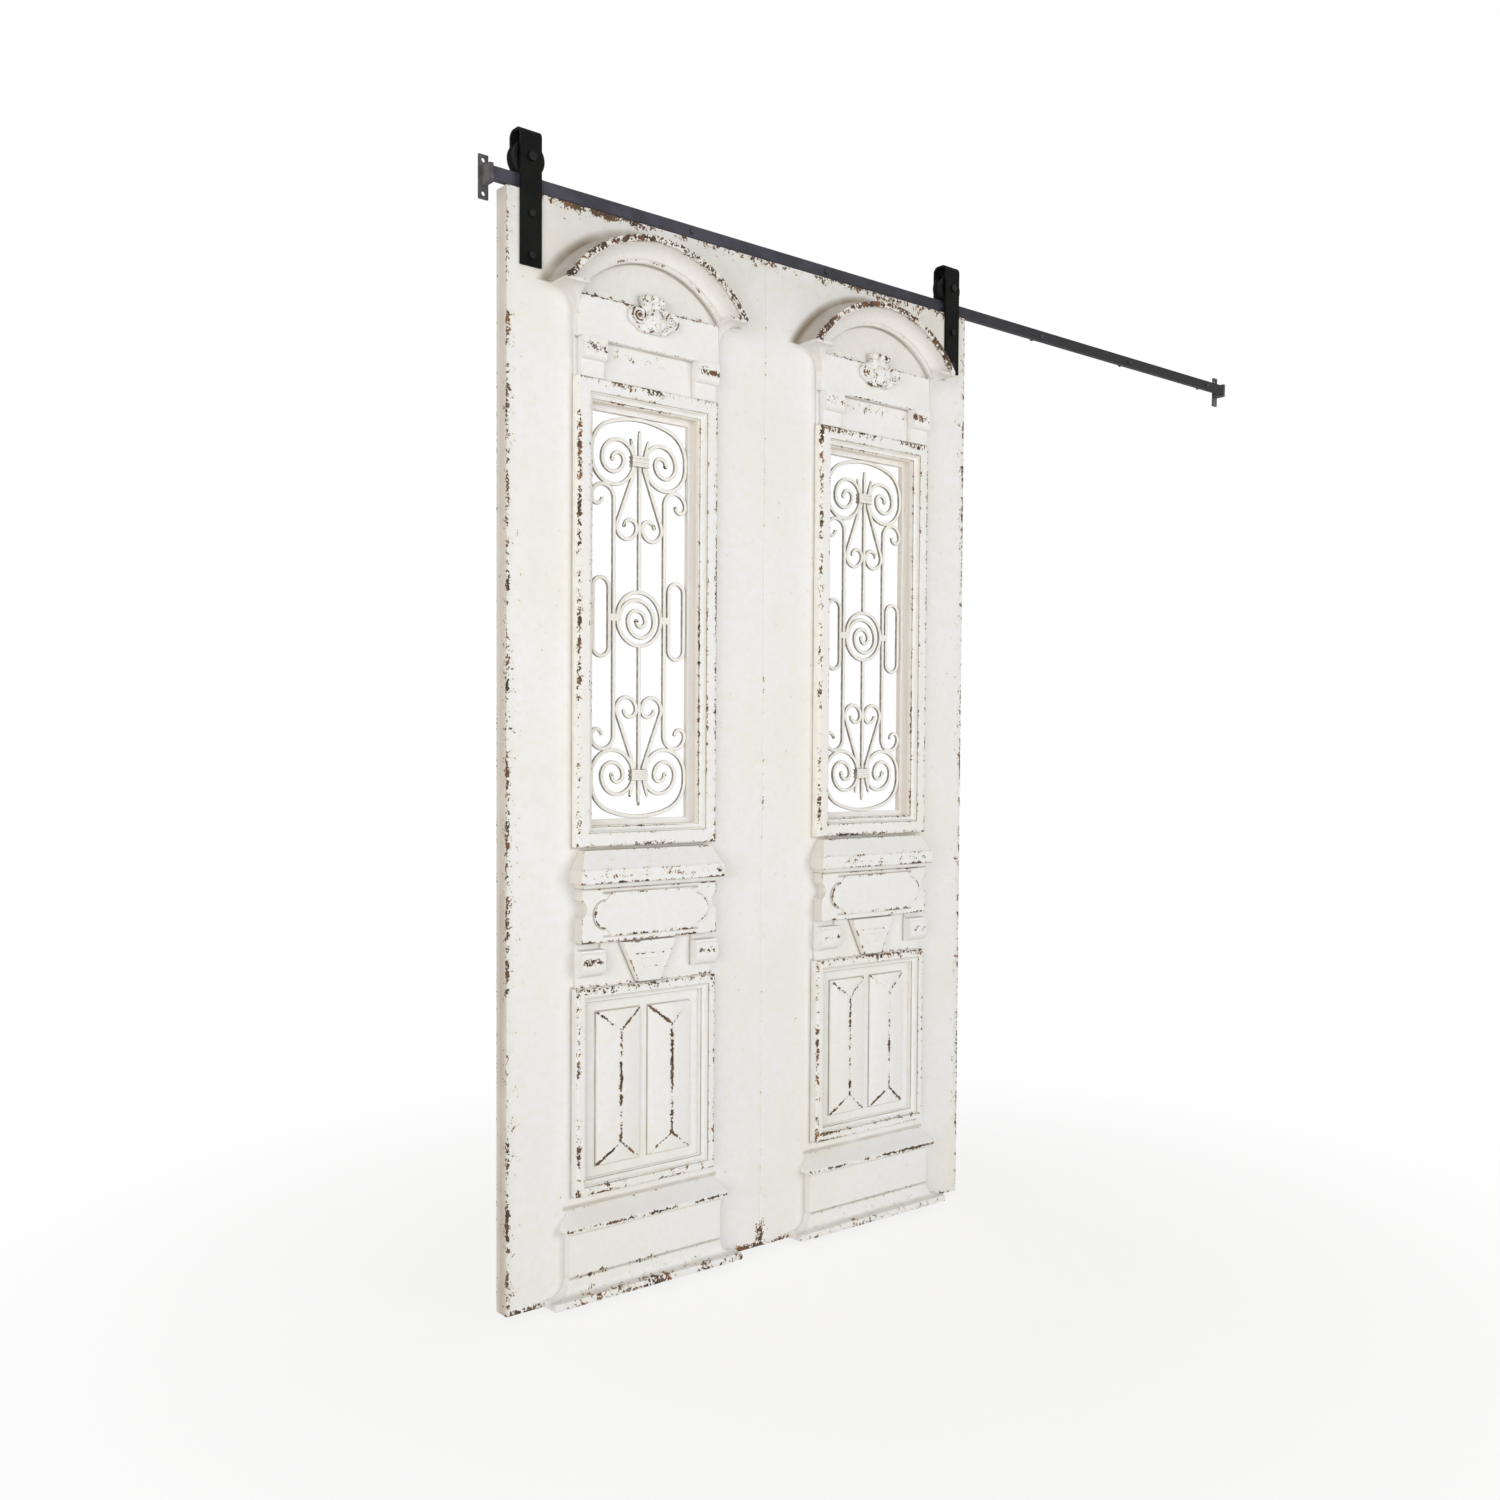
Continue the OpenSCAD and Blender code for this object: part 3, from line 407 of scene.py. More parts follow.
@dataclass(frozen=True)
class ChippedPaint:
    """Old white oil paint that has chipped off the edges down to brown wood or rust.

    Attributes:
        coat: Colour of the sound paint.
        aged: Warmer colour of its older patches.
        stain: Colour of the thin paint round a chip.
        shade_grime_colour: Colour of the painted shade, with some grime, in inner corners.
        bare: Colours of the bare ground, dark to light.
        stops: Places of those colours in the ground's noise.
        chip_level: How high the noise has to reach for a chip with no wear.
        lip: Half the softness of a chip's edge.
        halo: Reach of the stain round a chip.
        sides: Colour of the faces that look neither into the room nor to the wall, or None; it is painted
            shade where it is darker than the coat and painted light where it is lighter.
        grain: Direction of the strokes.
        across: Strokes to the metre across the brush.
        along: Strokes to the metre along the brush.
    """

    coat: Colour = linear("edecec")
    aged: Colour = linear("e9e4d6")
    stain: Colour = linear("cdbf9f")
    shade_grime_colour: Colour = linear("8a7a60")
    bare: tuple[Colour, Colour, Colour] = (linear("33291f"), linear("5a4431"), linear("8a5b39"))
    stops: Point = (0.42, 0.55, 0.70)
    chip_level: float = 0.715
    lip: float = 0.006
    halo: float = 0.08
    sides: Union[Colour, None] = None
    grain: Grain = Grain.UPRIGHT
    across: float = 420.0
    along: float = 26.0

    def material(self, name: str, places: Places = (), corners: Places = ()) -> bpy.types.Material:
        """Builds the material of one piece.

        A fine and a middle noise are added, and a coarse one decides how much the wear lifts
        them. Where the sum passes the chip level the paint is gone.

        Args:
            name: The material's name.
            places: The edges where it has chipped.
            corners: The inner corners and other places that are darkened, as painted shade with some grime.

        Returns:
            The material.
        """
        material, graph, shader = new_material(name)
        point = graph.object_point()
        fine = graph.noise(point, scale=235.0, detail=2.0, roughness=0.55)
        middle = graph.noise(point, scale=76.0, detail=2.0, roughness=0.55)
        patch = graph.noise(point, scale=12.0, detail=2.0, roughness=0.5)
        worn = graph.highest([place.mask(graph, point) for place in places])
        gain = graph.math("MAXIMUM", graph.weighted(-0.07, (patch, 0.62)), 0.0)
        lifted = graph.math("MULTIPLY_ADD", worn, gain, graph.weighted(0.0, (fine, 0.5), (middle, 0.5)))
        chip = graph.step(lifted, self.chip_level - self.lip, self.chip_level + self.lip)
        halo = graph.step(lifted, self.chip_level - self.halo, self.chip_level, high=0.35)

        tone = graph.noise(point, scale=3.4, detail=3.0, roughness=0.55)
        coat = graph.mix(graph.step(tone, start=0.44, end=0.66, high=0.4), self.coat, self.aged)
        # Side faces take their own colour: painted shade on most pieces, painted light on the window frame's
        # sides.
        if self.sides is not None:
            normal = graph.node("ShaderNodeNewGeometry").outputs["Normal"]
            facing = graph.math("ABSOLUTE", graph.parts(normal)[1])
            coat = graph.mix(graph.step(facing, start=0.78, end=0.3, high=0.9), coat, self.sides)
        coat = graph.mix(graph.step(middle, start=0.36, end=0.68, high=0.35), coat, self.aged)
        # Painted shade, with some grime, darkens the inner corners.
        if corners:
            shade_grime_share = graph.highest([corner.mask(graph, point) for corner in corners])
            shade_grime_share = graph.math("MULTIPLY", shade_grime_share, graph.step(patch, start=0.2, end=0.6, low=0.45))
            coat = graph.mix(shade_grime_share, coat, self.shade_grime_colour)
        coat = graph.mix(halo, coat, self.stain)
        ground = graph.noise(point, scale=38.0, detail=2.0, roughness=0.5)
        soil = graph.ramp(graph.weighted(0.0, (fine, 0.3), (ground, 0.7)), zip(self.stops, self.bare))
        graph.feed(shader.inputs["Base Color"], graph.mix(chip, coat, soil))

        graph.feed(shader.inputs["Roughness"], graph.weighted(0.36, (middle, 0.24), (chip, 0.32)))
        level = self.grain is Grain.LEVEL
        scale = (self.along, self.across, self.across) if level else (self.across, self.across, self.along)
        strokes = graph.streaks(point, scale, detail=3.0, roughness=0.6)
        height = graph.weighted(0.0, (middle, 0.18), (strokes, 0.22), (chip, -0.8))
        graph.bump(shader, height, strength=0.55, distance=0.0007)
        return material


@dataclass(frozen=True)
class Steel:
    """Painted, blackened or worn steel.

    Attributes:
        name: The finish's name.
        codes: Colours of its deeper patches, its lighter patches and where it is rubbed.
        rough: Roughness at the middle of its range.
        rubbed: How much of it is rubbed.
        gloss: Strength of its surface reflection; one half is plain.
        metal: How metallic it is.
        drawn: Whether fine lines run along the bar.
        tail: Colour that it turns to towards its right end, or None.
        spread: Width of the range of its roughness.
    """

    name: str
    codes: tuple[str, str, str]
    rough: float
    rubbed: float = 0.0
    gloss: float = 0.5
    metal: float = 0.0
    drawn: bool = False
    tail: Union[str, None] = None
    spread: float = 0.22

    def material(self) -> bpy.types.Material:
        """Builds the material: clouded colour, rubbed specks, lines along the bar and a fine bump.

        Returns:
            The material.
        """
        material, graph, shader = new_material(self.name)
        point = graph.object_point()
        cloud = graph.noise(point, scale=16.0, detail=4.0, roughness=0.6)
        speck = graph.noise(point, scale=190.0, detail=3.0, roughness=0.65)
        dark, light, edge = (linear(code) for code in self.codes)
        colour = graph.mix(graph.step(cloud, start=0.36, end=0.66), dark, light)
        if self.tail is not None:
            share = graph.step(graph.parts(point)[0], start=-1.0, end=0.7, high=0.85)
            colour = graph.mix(share, colour, linear(self.tail))
        worn = graph.weighted(0.0, (speck, 0.55), (cloud, 0.45))
        rub = graph.step(worn, start=0.72 - self.rubbed, end=0.78 - self.rubbed)
        height = speck
        if self.drawn:
            lines = graph.streaks(point, (9.0, 900.0, 900.0), detail=2.0, roughness=0.5)
            height = graph.weighted(0.0, (speck, 0.4), (lines, 0.6))
        rough = graph.weighted(self.rough - self.spread / 2, (cloud, self.spread))
        for key, value in (("Base Color", graph.mix(rub, colour, edge)), ("Metallic", self.metal),
                           ("Specular IOR Level", self.gloss), ("Roughness", rough)):
            graph.feed(shader.inputs[key], value)
        graph.bump(shader, height, strength=0.3, distance=0.0003)
        return material


@dataclass(frozen=True)
class BareWood:
    """Plain hidden wood with a grain along the piece.

    Attributes:
        name: The finish's name.
        early: Colour of the pale rings.
        late: Colour of the dark rings.
    """

    name: str = "bare_wood"
    early: Colour = linear("b9946a")
    late: Colour = linear("8d6742")

    def material(self) -> bpy.types.Material:
        """Builds the material: long streaks of two browns with a matching bump.

        Returns:
            The material.
        """
        material, graph, shader = new_material(self.name)
        streak = graph.streaks(graph.object_point(), (30.0, 420.0, 420.0), detail=4.0, roughness=0.6)
        share = graph.step(streak, start=0.35, end=0.7)
        graph.feed(shader.inputs["Base Color"], graph.mix(share, self.early, self.late))
        graph.feed(shader.inputs["Roughness"], graph.weighted(0.55, (streak, 0.2)))
        graph.bump(shader, streak, strength=0.4, distance=0.0003)
        return material


def dress(node: str, material: bpy.types.Material) -> bpy.types.Object:
    """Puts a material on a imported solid.

    Args:
        node: The solid's name.
        material: Its finish.

    Returns:
        The solid's object.
    """
    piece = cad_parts[node]
    if not piece.material_slots:
        piece.data.materials.append(material)
    for slot in piece.material_slots:
        slot.material = material
    return piece


def soften(piece: bpy.types.Object, width: float) -> None:
    """Rounds the sharp arrises of a solid with modifiers, which leave its own mesh alone.

    The loose triangles are welded, flat ones are joined, and then every edge sharper than
    32 degrees is rounded.

    Args:
        piece: The solid's object.
        width: Width of the rounding, in metres.
    """
    steps = (("weld", "WELD", {"merge_threshold": 0.00001}),
             ("flat", "DECIMATE", {"decimate_type": "DISSOLVE", "angle_limit": math.radians(0.5)}),
             ("arris", "BEVEL", {"width": width, "segments": 2, "limit_method": "ANGLE",
                                 "angle_limit": math.radians(32.0), "use_clamp_overlap": True}),
             ("shade", "WEIGHTED_NORMAL", {"weight": 50, "keep_sharp": False}))
    for name, kind, settings in steps:
        modifier = piece.modifiers.new(name, kind)
        for key, value in settings.items():
            setattr(modifier, key, value)


def dress_steel(nodes: Sequence[str], finish: Steel, arris: float) -> None:
    """Dresses some solids in one steel and rounds their arrises.

    Args:
        nodes: The solids' names.
        finish: The steel.
        arris: Width of the rounding, in metres.
    """
    material = finish.material()
    for node in nodes:
        soften(dress(node, material), arris)
        LOG.info("dressed %s as %s", node, finish.name)


@dataclass
class Shell:
    """Points and faces of a made piece, gathered part by part.

    Attributes:
        points: Arrays of points, three columns, in metres.
        faces: Lists of faces, as numbers of points.
        worn: Wear of each point, from nought to one.
        count: How many points there are.
    """

    points: list[np.ndarray] = field(default_factory=list)
    faces: list[list[int]] = field(default_factory=list)
    worn: list[np.ndarray] = field(default_factory=list)
    count: int = 0

    def add(self, points: np.ndarray, faces: Sequence[np.ndarray], worn: np.ndarray) -> None:
        """Adds a part.

        Args:
            points: Its points.
            faces: Arrays of its faces, each array with as many columns as the faces have corners.
            worn: Wear of its points.
        """
        for block in faces:
            self.faces.extend((block + self.count).tolist())
        self.points.append(points)
        self.worn.append(worn)
        self.count += len(points)

    def piece(self, name: str, paint: bpy.types.Material) -> bpy.types.Object:
        """Makes the object.

        Args:
            name: The piece's name.
            paint: Its finish.

        Returns:
            The object, at the origin, with its place in its mesh.
        """
        mesh = bpy.data.meshes.new(name)
        mesh.from_pydata(np.concatenate(self.points).tolist(), [], self.faces)
        mesh.polygons.foreach_set("use_smooth", np.full(len(mesh.polygons), True))
        attribute = mesh.attributes.new("worn", "FLOAT", "POINT")
        attribute.data.foreach_set("value", np.concatenate(self.worn).astype(np.float32))
        mesh.materials.append(paint)
        mesh.update()
        made = bpy.data.objects.new(name, mesh)
        bpy.context.scene.collection.objects.link(made)
        LOG.info("made %s with %d faces", name, len(mesh.polygons))
        return made


def grid_faces(rows: int, columns: int, closed_rows: bool, closed_columns: bool) -> np.ndarray:
    """Numbers the four-sided faces of a grid of points.

    Args:
        rows: Points along the first parameter.
        columns: Points along the second.
        closed_rows: Whether the last row joins the first.
        closed_columns: Whether the last column joins the first.

    Returns:
        One face in each row, with its corners turned from the second parameter to the first.
    """
    r = np.arange(rows if closed_rows else rows - 1)
    c = np.arange(columns if closed_columns else columns - 1)
    r, c = (a.ravel() for a in np.meshgrid(r, c, indexing="ij"))
    r2, c2 = (r + 1) % rows, (c + 1) % columns
    return np.stack([r * columns + c, r * columns + c2, r2 * columns + c2, r2 * columns + c], axis=1)


def fan(tip: int, ring: np.ndarray) -> np.ndarray:
    """Numbers the three-sided faces between a tip and a closed ring of points, in the ring's order."""
    return np.stack([np.full(len(ring), tip), ring, np.roll(ring, -1)], axis=1)


def powered(value: np.ndarray, power: float) -> np.ndarray:
    """Raises the size of each number to a power and keeps its sign."""
    return np.sign(value) * np.abs(value) ** power


def mirrored(path: np.ndarray, x: float, y: float) -> np.ndarray:
    """Gives a line turned over to another quarter of the grille."""
    return path * np.array([x, y])


def arc(centre: Sequence[float], radius: float, start: float, end: float) -> np.ndarray:
    """Points on an arc: the centre plus the radius times the cosine and sine of the angle.

    Args:
        centre: Its centre in the plane of the grille.
        radius: Its radius.
        start: First angle, in degrees.
        end: Last angle.

    Returns:
        The points, two columns, about 2.4 mm apart or closer.
    """
    pitch, least = 2.4, 6
    number = max(least, int(abs(math.radians(end - start)) * radius / pitch) + 1)
    angle = np.radians(np.linspace(start, end, number))
    return np.asarray(centre, float) + radius * np.stack([np.cos(angle), np.sin(angle)], axis=1)


def line(start: Sequence[float], end: Sequence[float], number: int) -> np.ndarray:
    """Points evenly along a straight line."""
    share = np.linspace(0.0, 1.0, number)[:, None]
    return (1 - share) * np.asarray(start, float) + share * np.asarray(end, float)


def chain(*runs: np.ndarray) -> np.ndarray:
    """Joins runs of points end to end, and leaves out points that fall on one another.

    Args:
        *runs: The runs, two columns each.

    Returns:
        The points, two columns, each more than 0.05 mm from the one before.
    """
    joined, least = np.concatenate(runs), 0.05
    gap = np.linalg.norm(np.diff(joined, axis=0), axis=1)
    return joined[np.concatenate([[True], gap > least])]


def spiral(start_x: float, y: float, widths: Sequence[float], up: bool, inward: float) -> np.ndarray:
    """Points of a scroll made of half circles, each narrower than the one before.

    Each half circle starts where the last one ends, on the line at height y, and goes to the
    other side of it.

    Args:
        start_x: Where the scroll starts.
        y: Height of the line.
        widths: Width of each half circle.
        up: Whether the first one goes over the line.
        inward: Side to which the first one turns, 1 or -1.

    Returns:
        The points, two columns.
    """
    signs = inward * (-1.0) ** np.arange(len(widths))
    ends = start_x + np.concatenate([[0.0], np.cumsum(signs * np.asarray(widths))])
    runs = []
    for i, width in enumerate(widths):
        left, right = (180.0, 0.0) if up == (i % 2 == 0) else (180.0, 360.0)
        angles = (left, right) if signs[i] > 0 else (right, left)
        runs.append(arc(((ends[i] + ends[i + 1]) / 2, y), width / 2, *angles))
    return chain(*runs)


@dataclass
class Grille:
    """Scrolled iron grille of one leaf, made of bars carried along their lines.

    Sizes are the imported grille's, so each bar lies where its solid is. A drop is a height under
    the top, and a step says how much narrower each half turn is than the one before.

    Attributes:
        place: The leaf.
        bar: Thickness of the bars.
        half_w: Half the width between the beads.
        half_h: Half the height between the beads.
        side_bar_x: Place of the two long bars.
        middle_v: Height of its middle on the leaf.
        depth: Place of the middle of the bars behind the leaf's front.
        round_power: Squareness of the section; one is round.
        corners: Points round a bar.
        hammer: Depth of the hammer marks, as a share, and the lengths of a radian of their two waves.
        tip_l: Length of a thinned tip, in bar thicknesses.
        ball_r: Radius of a rolled-up end in the plane, and half its thickness.
        arch_corner_r: Radius of the arch's corners.
        arch_drop: Drop of the centres of those corners.
        volute_drop: Drop of the volutes.
        volute_step: Step of the volutes.
        volute_gap: How far off the middle a volute's line turns back.
        hook_drop: Drop of the hooks of the long bars.
        hook_step: Step of the hooks.
        heart_drop: Drop of the hearts' bottoms.
        heart_step: Step of the hearts' scrolls.
        heart_foot: How far off the middle bar a heart's line starts.
        lap: How far a heart sinks into the bars beside it.
        spike_drop: Drop of the crest's middle point.
        side_spike: Place of a side point's foot and of its tip, and how much lower it ends.
        ring_gap: Gap between the middle ring and the long bars.
        spiral_d: Width of the spiral's first half turn.
        spiral_step: Step of the spiral.
        spiral_in: How far inside the ring's face the spiral's line starts.
        spiral_y: Height of the spiral's line.
        long_ring_l: Length of the long rings.
        long_ring_gap: Gap on both sides of a long ring.
        clip_h: Height of the clips.
        clip_reach: How far a clip reaches from the long bar's line towards the middle.
        collar: Width, depth and height of a collar.
        band: How much wider a collar's band is, its height and its squareness.
        shell: What has been made of it.
    """

    place: LeafPlace
    bar: float = 8.0
    half_w: float = 120.0
    half_h: float = 404.0
    side_bar_x: float = 62.5
    middle_v: float = 1349.0
    depth: float = 19.5
    round_power: float = 0.5
    corners: int = 16
    hammer: Point = (0.03, 9.0, 23.0)
    tip_l: float = 3.0
    ball_r: tuple[float, float] = (5.5, 4.4)
    arch_corner_r: float = 62.0
    arch_drop: float = 76.0
    volute_drop: float = 88.0
    volute_step: float = 25.0
    volute_gap: float = 14.0
    hook_drop: float = 168.0
    hook_step: float = 28.0
    heart_drop: float = 221.0
    heart_step: float = 18.0
    heart_foot: float = 5.0
    lap: float = 1.0
    spike_drop: float = 26.0
    side_spike: Point = (10.0, 22.0, 18.0)
    ring_gap: float = 0.5
    spiral_d: float = 86.0
    spiral_step: float = 21.5
    spiral_in: float = 1.0
    spiral_y: float = -5.0
    long_ring_l: float = 164.0
    long_ring_gap: float = 3.5
    clip_h: float = 14.0
    clip_reach: float = 10.0
    collar: Point = (40.0, 14.0, 22.0)
    band: Point = (3.0, 5.0, 0.35)
    shell: Shell = field(default_factory=Shell)

    @property
    def ring_r(self) -> float:
        """Radius of the middle ring."""
        return self.side_bar_x - self.bar - self.ring_gap

    def section(self) -> np.ndarray:
        """Points round a bar: cosine and sine raised to the round power, so a soft-cornered square."""
        angle = 2 * np.pi * (np.arange(self.corners) + 0.5) / self.corners
        return powered(np.stack([np.cos(angle), np.sin(angle)], axis=1), self.round_power)

    def to_frame(self, flat: np.ndarray, out: np.ndarray) -> np.ndarray:
        """Turns points of the grille's plane and their places out of it into metres of the shared frame."""
        x, y, z = self.place.at(0.0, -self.depth, self.middle_v)
        return np.stack([x + flat[..., 0] * MM, y - out * MM, z + flat[..., 1] * MM], axis=-1)

    def strand(self, path: np.ndarray, closed: bool = False, tips: tuple[bool, bool] = (False, False),
               thin: float = 0.45) -> None:
        """Carries the section along a line in the grille's plane.

        A point of the surface is the line's point, plus the section's first number times the
        line's left normal, plus its second number out of the plane. A tip thins towards its end,
        with the root of the way to it, and two sines along the run make the hammer marks.

        Args:
            path: Points of the line.
            closed: Whether it is a ring.
            tips: Whether the first and the last end is a thinned tip.
            thin: Share of the thickness that is left at a tip.
        """
        before = np.roll(path, 1, axis=0) if closed else np.concatenate([path[:1], path[:-1]])
        after = np.roll(path, -1, axis=0) if closed else np.concatenate([path[1:], path[-1:]])
        tangent = after - before
        tangent /= np.linalg.norm(tangent, axis=1, keepdims=True)
        normal = np.stack([-tangent[:, 1], tangent[:, 0]], axis=1)
        run = np.concatenate([[0.0], np.cumsum(np.linalg.norm(np.diff(path, axis=0), axis=1))])
        size = np.ones(len(path))
        worn = np.zeros(len(path))
        for is_tip, away in zip(tips, (run, run[-1] - run)):
            if is_tip:
                share = np.clip(away / (self.tip_l * self.bar), 0.0, 1.0)
                size = np.minimum(size, thin + (1 - thin) * np.sqrt(share))
                worn = np.maximum(worn, 1.0 - share)
        depth, first, second = self.hammer
        hammer = 1.0 + depth * np.sin(run / first + path[0, 0]) * np.sin(run / second)
        half = self.bar / 2 * size * np.minimum(hammer, 1.0)
        section = self.section()
        flat = path[:, None, :] + half[:, None, None] * section[None, :, :1] * normal[:, None, :]
        out = half[:, None] * section[None, :, 1]
        rows, columns = out.shape
        faces = [grid_faces(rows, columns, closed, True)]
        if not closed:
            ring = np.arange(columns)
            faces += [ring[::-1][None, :], (ring + (rows - 1) * columns)[None, :]]
        self.shell.add(self.to_frame(flat, out).reshape(-1, 3), faces, np.repeat(worn, columns))

    def ball(self, centre: Sequence[float]) -> None:
        """Adds a rolled-up end: an egg with one radius in the plane and another out of it.

        Args:
            centre: Its middle in the grille's plane.
        """
        columns, rises = 18, 11
        radius, out = self.ball_r
        turn = np.linspace(0.0, 2 * np.pi, columns, endpoint=False)
        rise = np.linspace(-np.pi / 2, np.pi / 2, rises)[1:-1]
        circle = np.stack([np.cos(turn), np.sin(turn)], axis=1)
        flat = np.asarray(centre, float) + radius * np.cos(rise)[:, None, None] * circle[None]
        tall = np.broadcast_to(out * np.sin(rise)[:, None], flat.shape[:2])
        body = self.to_frame(flat, tall).reshape(-1, 3)
        poles = self.to_frame(np.asarray([centre, centre], float), np.array([-out, out]))
        rows, ring = len(rise), np.arange(columns)
        faces = [grid_faces(rows, columns, False, True), fan(len(body), ring[::-1]),
                 fan(len(body) + 1, ring + (rows - 1) * columns)]
        self.shell.add(np.concatenate([body, poles]), faces, np.ones(len(body) + 2))

    def block(self, centre: Sequence[float], size: Point, power: float = 0.22) -> None:
        """Adds a soft-cornered block, as of a clip or a collar's band.

        Its level sections are squares with powered cosine and sine, and they shrink to the
        middle at both ends.

        Args:
            centre: Its middle in the grille's plane.
            size: Width, depth and height.
            power: Squareness; smaller is squarer.
        """
        columns, rows = 40, 14
        turn = 2 * np.pi * (np.arange(columns) + 0.5) / columns
        rise = np.linspace(-np.pi / 2, np.pi / 2, rows)[:, None]
        shrink = powered(np.cos(rise), power)
        wide, deep = (shrink * powered(wave(turn), power)[None] for wave in (np.cos, np.sin))
        tall = np.broadcast_to(powered(np.sin(rise), power), wide.shape)
        flat = np.stack([centre[0] + wide * size[0] / 2, centre[1] + tall * size[2] / 2], axis=-1)
        points = self.to_frame(flat, -deep * size[1] / 2).reshape(-1, 3)
        self.shell.add(points, [grid_faces(rows, columns, False, True)], np.zeros(len(points)))

    def arches(self) -> None:
        """Adds the arch at each end with its two volutes, as one long bar."""
        side_x = self.half_w - self.bar / 2
        top_y = self.half_h - self.bar / 2
        corner = np.array([self.arch_corner_r - side_x, self.half_h - self.arch_drop])
        drop = top_y - corner[1]
        top_r = (corner[0] ** 2 + drop ** 2 - self.arch_corner_r ** 2) / (2 * (drop - self.arch_corner_r))
        join = math.degrees(math.atan2(top_r - drop, corner[0]))
        volute_y = self.half_h - self.volute_drop
        widths = [side_x - self.volute_gap - k * self.volute_step for k in range(4)]
        volute = spiral(-side_x, volute_y, widths, False, 1.0)
        half = chain(volute[::-1], line((-side_x, volute_y), (-side_x, corner[1]), 4),
                     arc(corner, self.arch_corner_r, 180.0, join))
        crown = arc((0.0, top_y - top_r), top_r, join, 180.0 - join)
        whole = chain(half, crown, mirrored(half, -1.0, 1.0)[::-1])
        for y in BOTH:
            self.strand(mirrored(whole, 1.0, y))
            for x in BOTH:
                self.ball(mirrored(volute[-1], x, y))

    def side_bars(self) -> None:
        """Adds the two long bars with a hook at each end."""
        hook_y = self.half_h - self.hook_drop
        width = self.half_w - self.bar / 2 - self.side_bar_x
        hook = spiral(-self.side_bar_x, hook_y, [width, width - self.hook_step], True, -1.0)
        top = chain(line((-self.side_bar_x, 0.0), (-self.side_bar_x, hook_y), 24), hook)
        whole = chain(mirrored(top, 1.0, -1.0)[::-1], top)
        for x in BOTH:
            self.strand(mirrored(whole, x, 1.0), tips=(True, True), thin=0.7)

    def hearts(self) -> None:
        """Adds the two hearts: a strand from the collar, round the bottom and into a small scroll."""
        out, inner = self.side_bar_x - self.bar + self.lap, self.bar - self.lap
        radius = (out - inner) / 2
        middle = np.array([-inner - radius, self.half_h - self.heart_drop])
        start = np.array([-self.bar / 2 - self.heart_foot,
                          self.half_h - self.volute_drop - self.collar[2] / 2])
        away = start - middle
        lift = math.degrees(math.atan2(away[1], away[0]) + math.acos(radius / np.linalg.norm(away)))
        touch = middle + radius * np.array([math.cos(math.radians(lift)), math.sin(math.radians(lift))])
        scroll = spiral(-inner, middle[1], [2 * radius - self.heart_step], True, -1.0)
        path = chain(line(start, touch, 20), arc(middle, radius, lift, 360.0), scroll)
        for x in BOTH:
            for y in BOTH:
                self.strand(mirrored(path, x, y), tips=(False, True), thin=0.7)

    def spikes(self) -> None:
        """Adds the three-pointed crest at each end and the middle bar."""
        foot_x, tip_x, lower = self.side_spike
        foot_y, tip_y = self.half_h - self.volute_drop, self.half_h - self.spike_drop
        middle = line((0.0, self.ring_r), (0.0, tip_y), 60)
        side = line((-foot_x, foot_y), (-tip_x, tip_y - lower), 16)
        for y in BOTH:
            self.strand(mirrored(middle, 1.0, y), tips=(False, True))
            for x in BOTH:
                self.strand(mirrored(side, x, y), tips=(False, True))

    def rings(self) -> None:
        """Adds the middle ring with its spiral, and the long ring on each side with its clip."""
        self.strand(arc((0.0, 0.0), self.ring_r, 0.0, 360.0)[:-1], closed=True)
        widths = [self.spiral_d - k * self.spiral_step for k in range(4)]
        inner = spiral(self.bar / 2 + self.spiral_in - self.ring_r, self.spiral_y, widths, True, 1.0)
        self.strand(inner)
        self.ball(inner[-1])
        face = self.side_bar_x + self.bar / 2
        long_x = (self.half_w + face) / 2
        long_r = (self.half_w - face) / 2 - self.long_ring_gap - self.bar / 2
        long_y = self.long_ring_l / 2 - long_r - self.bar / 2
        left, right = long_x - long_r, long_x + long_r
        loop = chain(arc((long_x, long_y), long_r, 0.0, 180.0), line((left, long_y), (left, -long_y), 20),
                     arc((long_x, -long_y), long_r, 180.0, 360.0),
                     line((right, -long_y), (right, long_y), 20))
        clip_in = self.side_bar_x - self.clip_reach
        clip_w = left - clip_in
        for x in BOTH:
            self.strand(mirrored(loop[:-1], x, 1.0), closed=True)
            self.block((x * (clip_in + clip_w / 2), 0.0), (clip_w, self.bar, self.clip_h))

    def collars(self) -> None:
        """Adds the tied collar at each end: a core with three bands."""
        wide, deep, tall = self.collar
        more, band_h, power = self.band
        for y in BOTH:
            middle = y * (self.half_h - self.volute_drop)
            self.block((0.0, middle), (wide, deep, tall))
            for k in (-1.0, 0.0, 1.0):
                band_y = middle + k * (tall - band_h) / 2
                self.block((0.0, band_y), (wide + more, deep + more, band_h), power)

    def build(self, paint: bpy.types.Material) -> bpy.types.Object:
        """Makes the grille and puts it in its solid's place.

        Args:
            paint: Its finish.

        Returns:
            The object.
        """
        for part in (self.arches, self.side_bars, self.hearts, self.spikes, self.rings, self.collars):
            part()
        name = self.place.side.value
        piece = self.shell.piece(f"{name}_scrollwork", paint)
        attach(piece, "door")
        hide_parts(f"{name}_grille")
        return piece


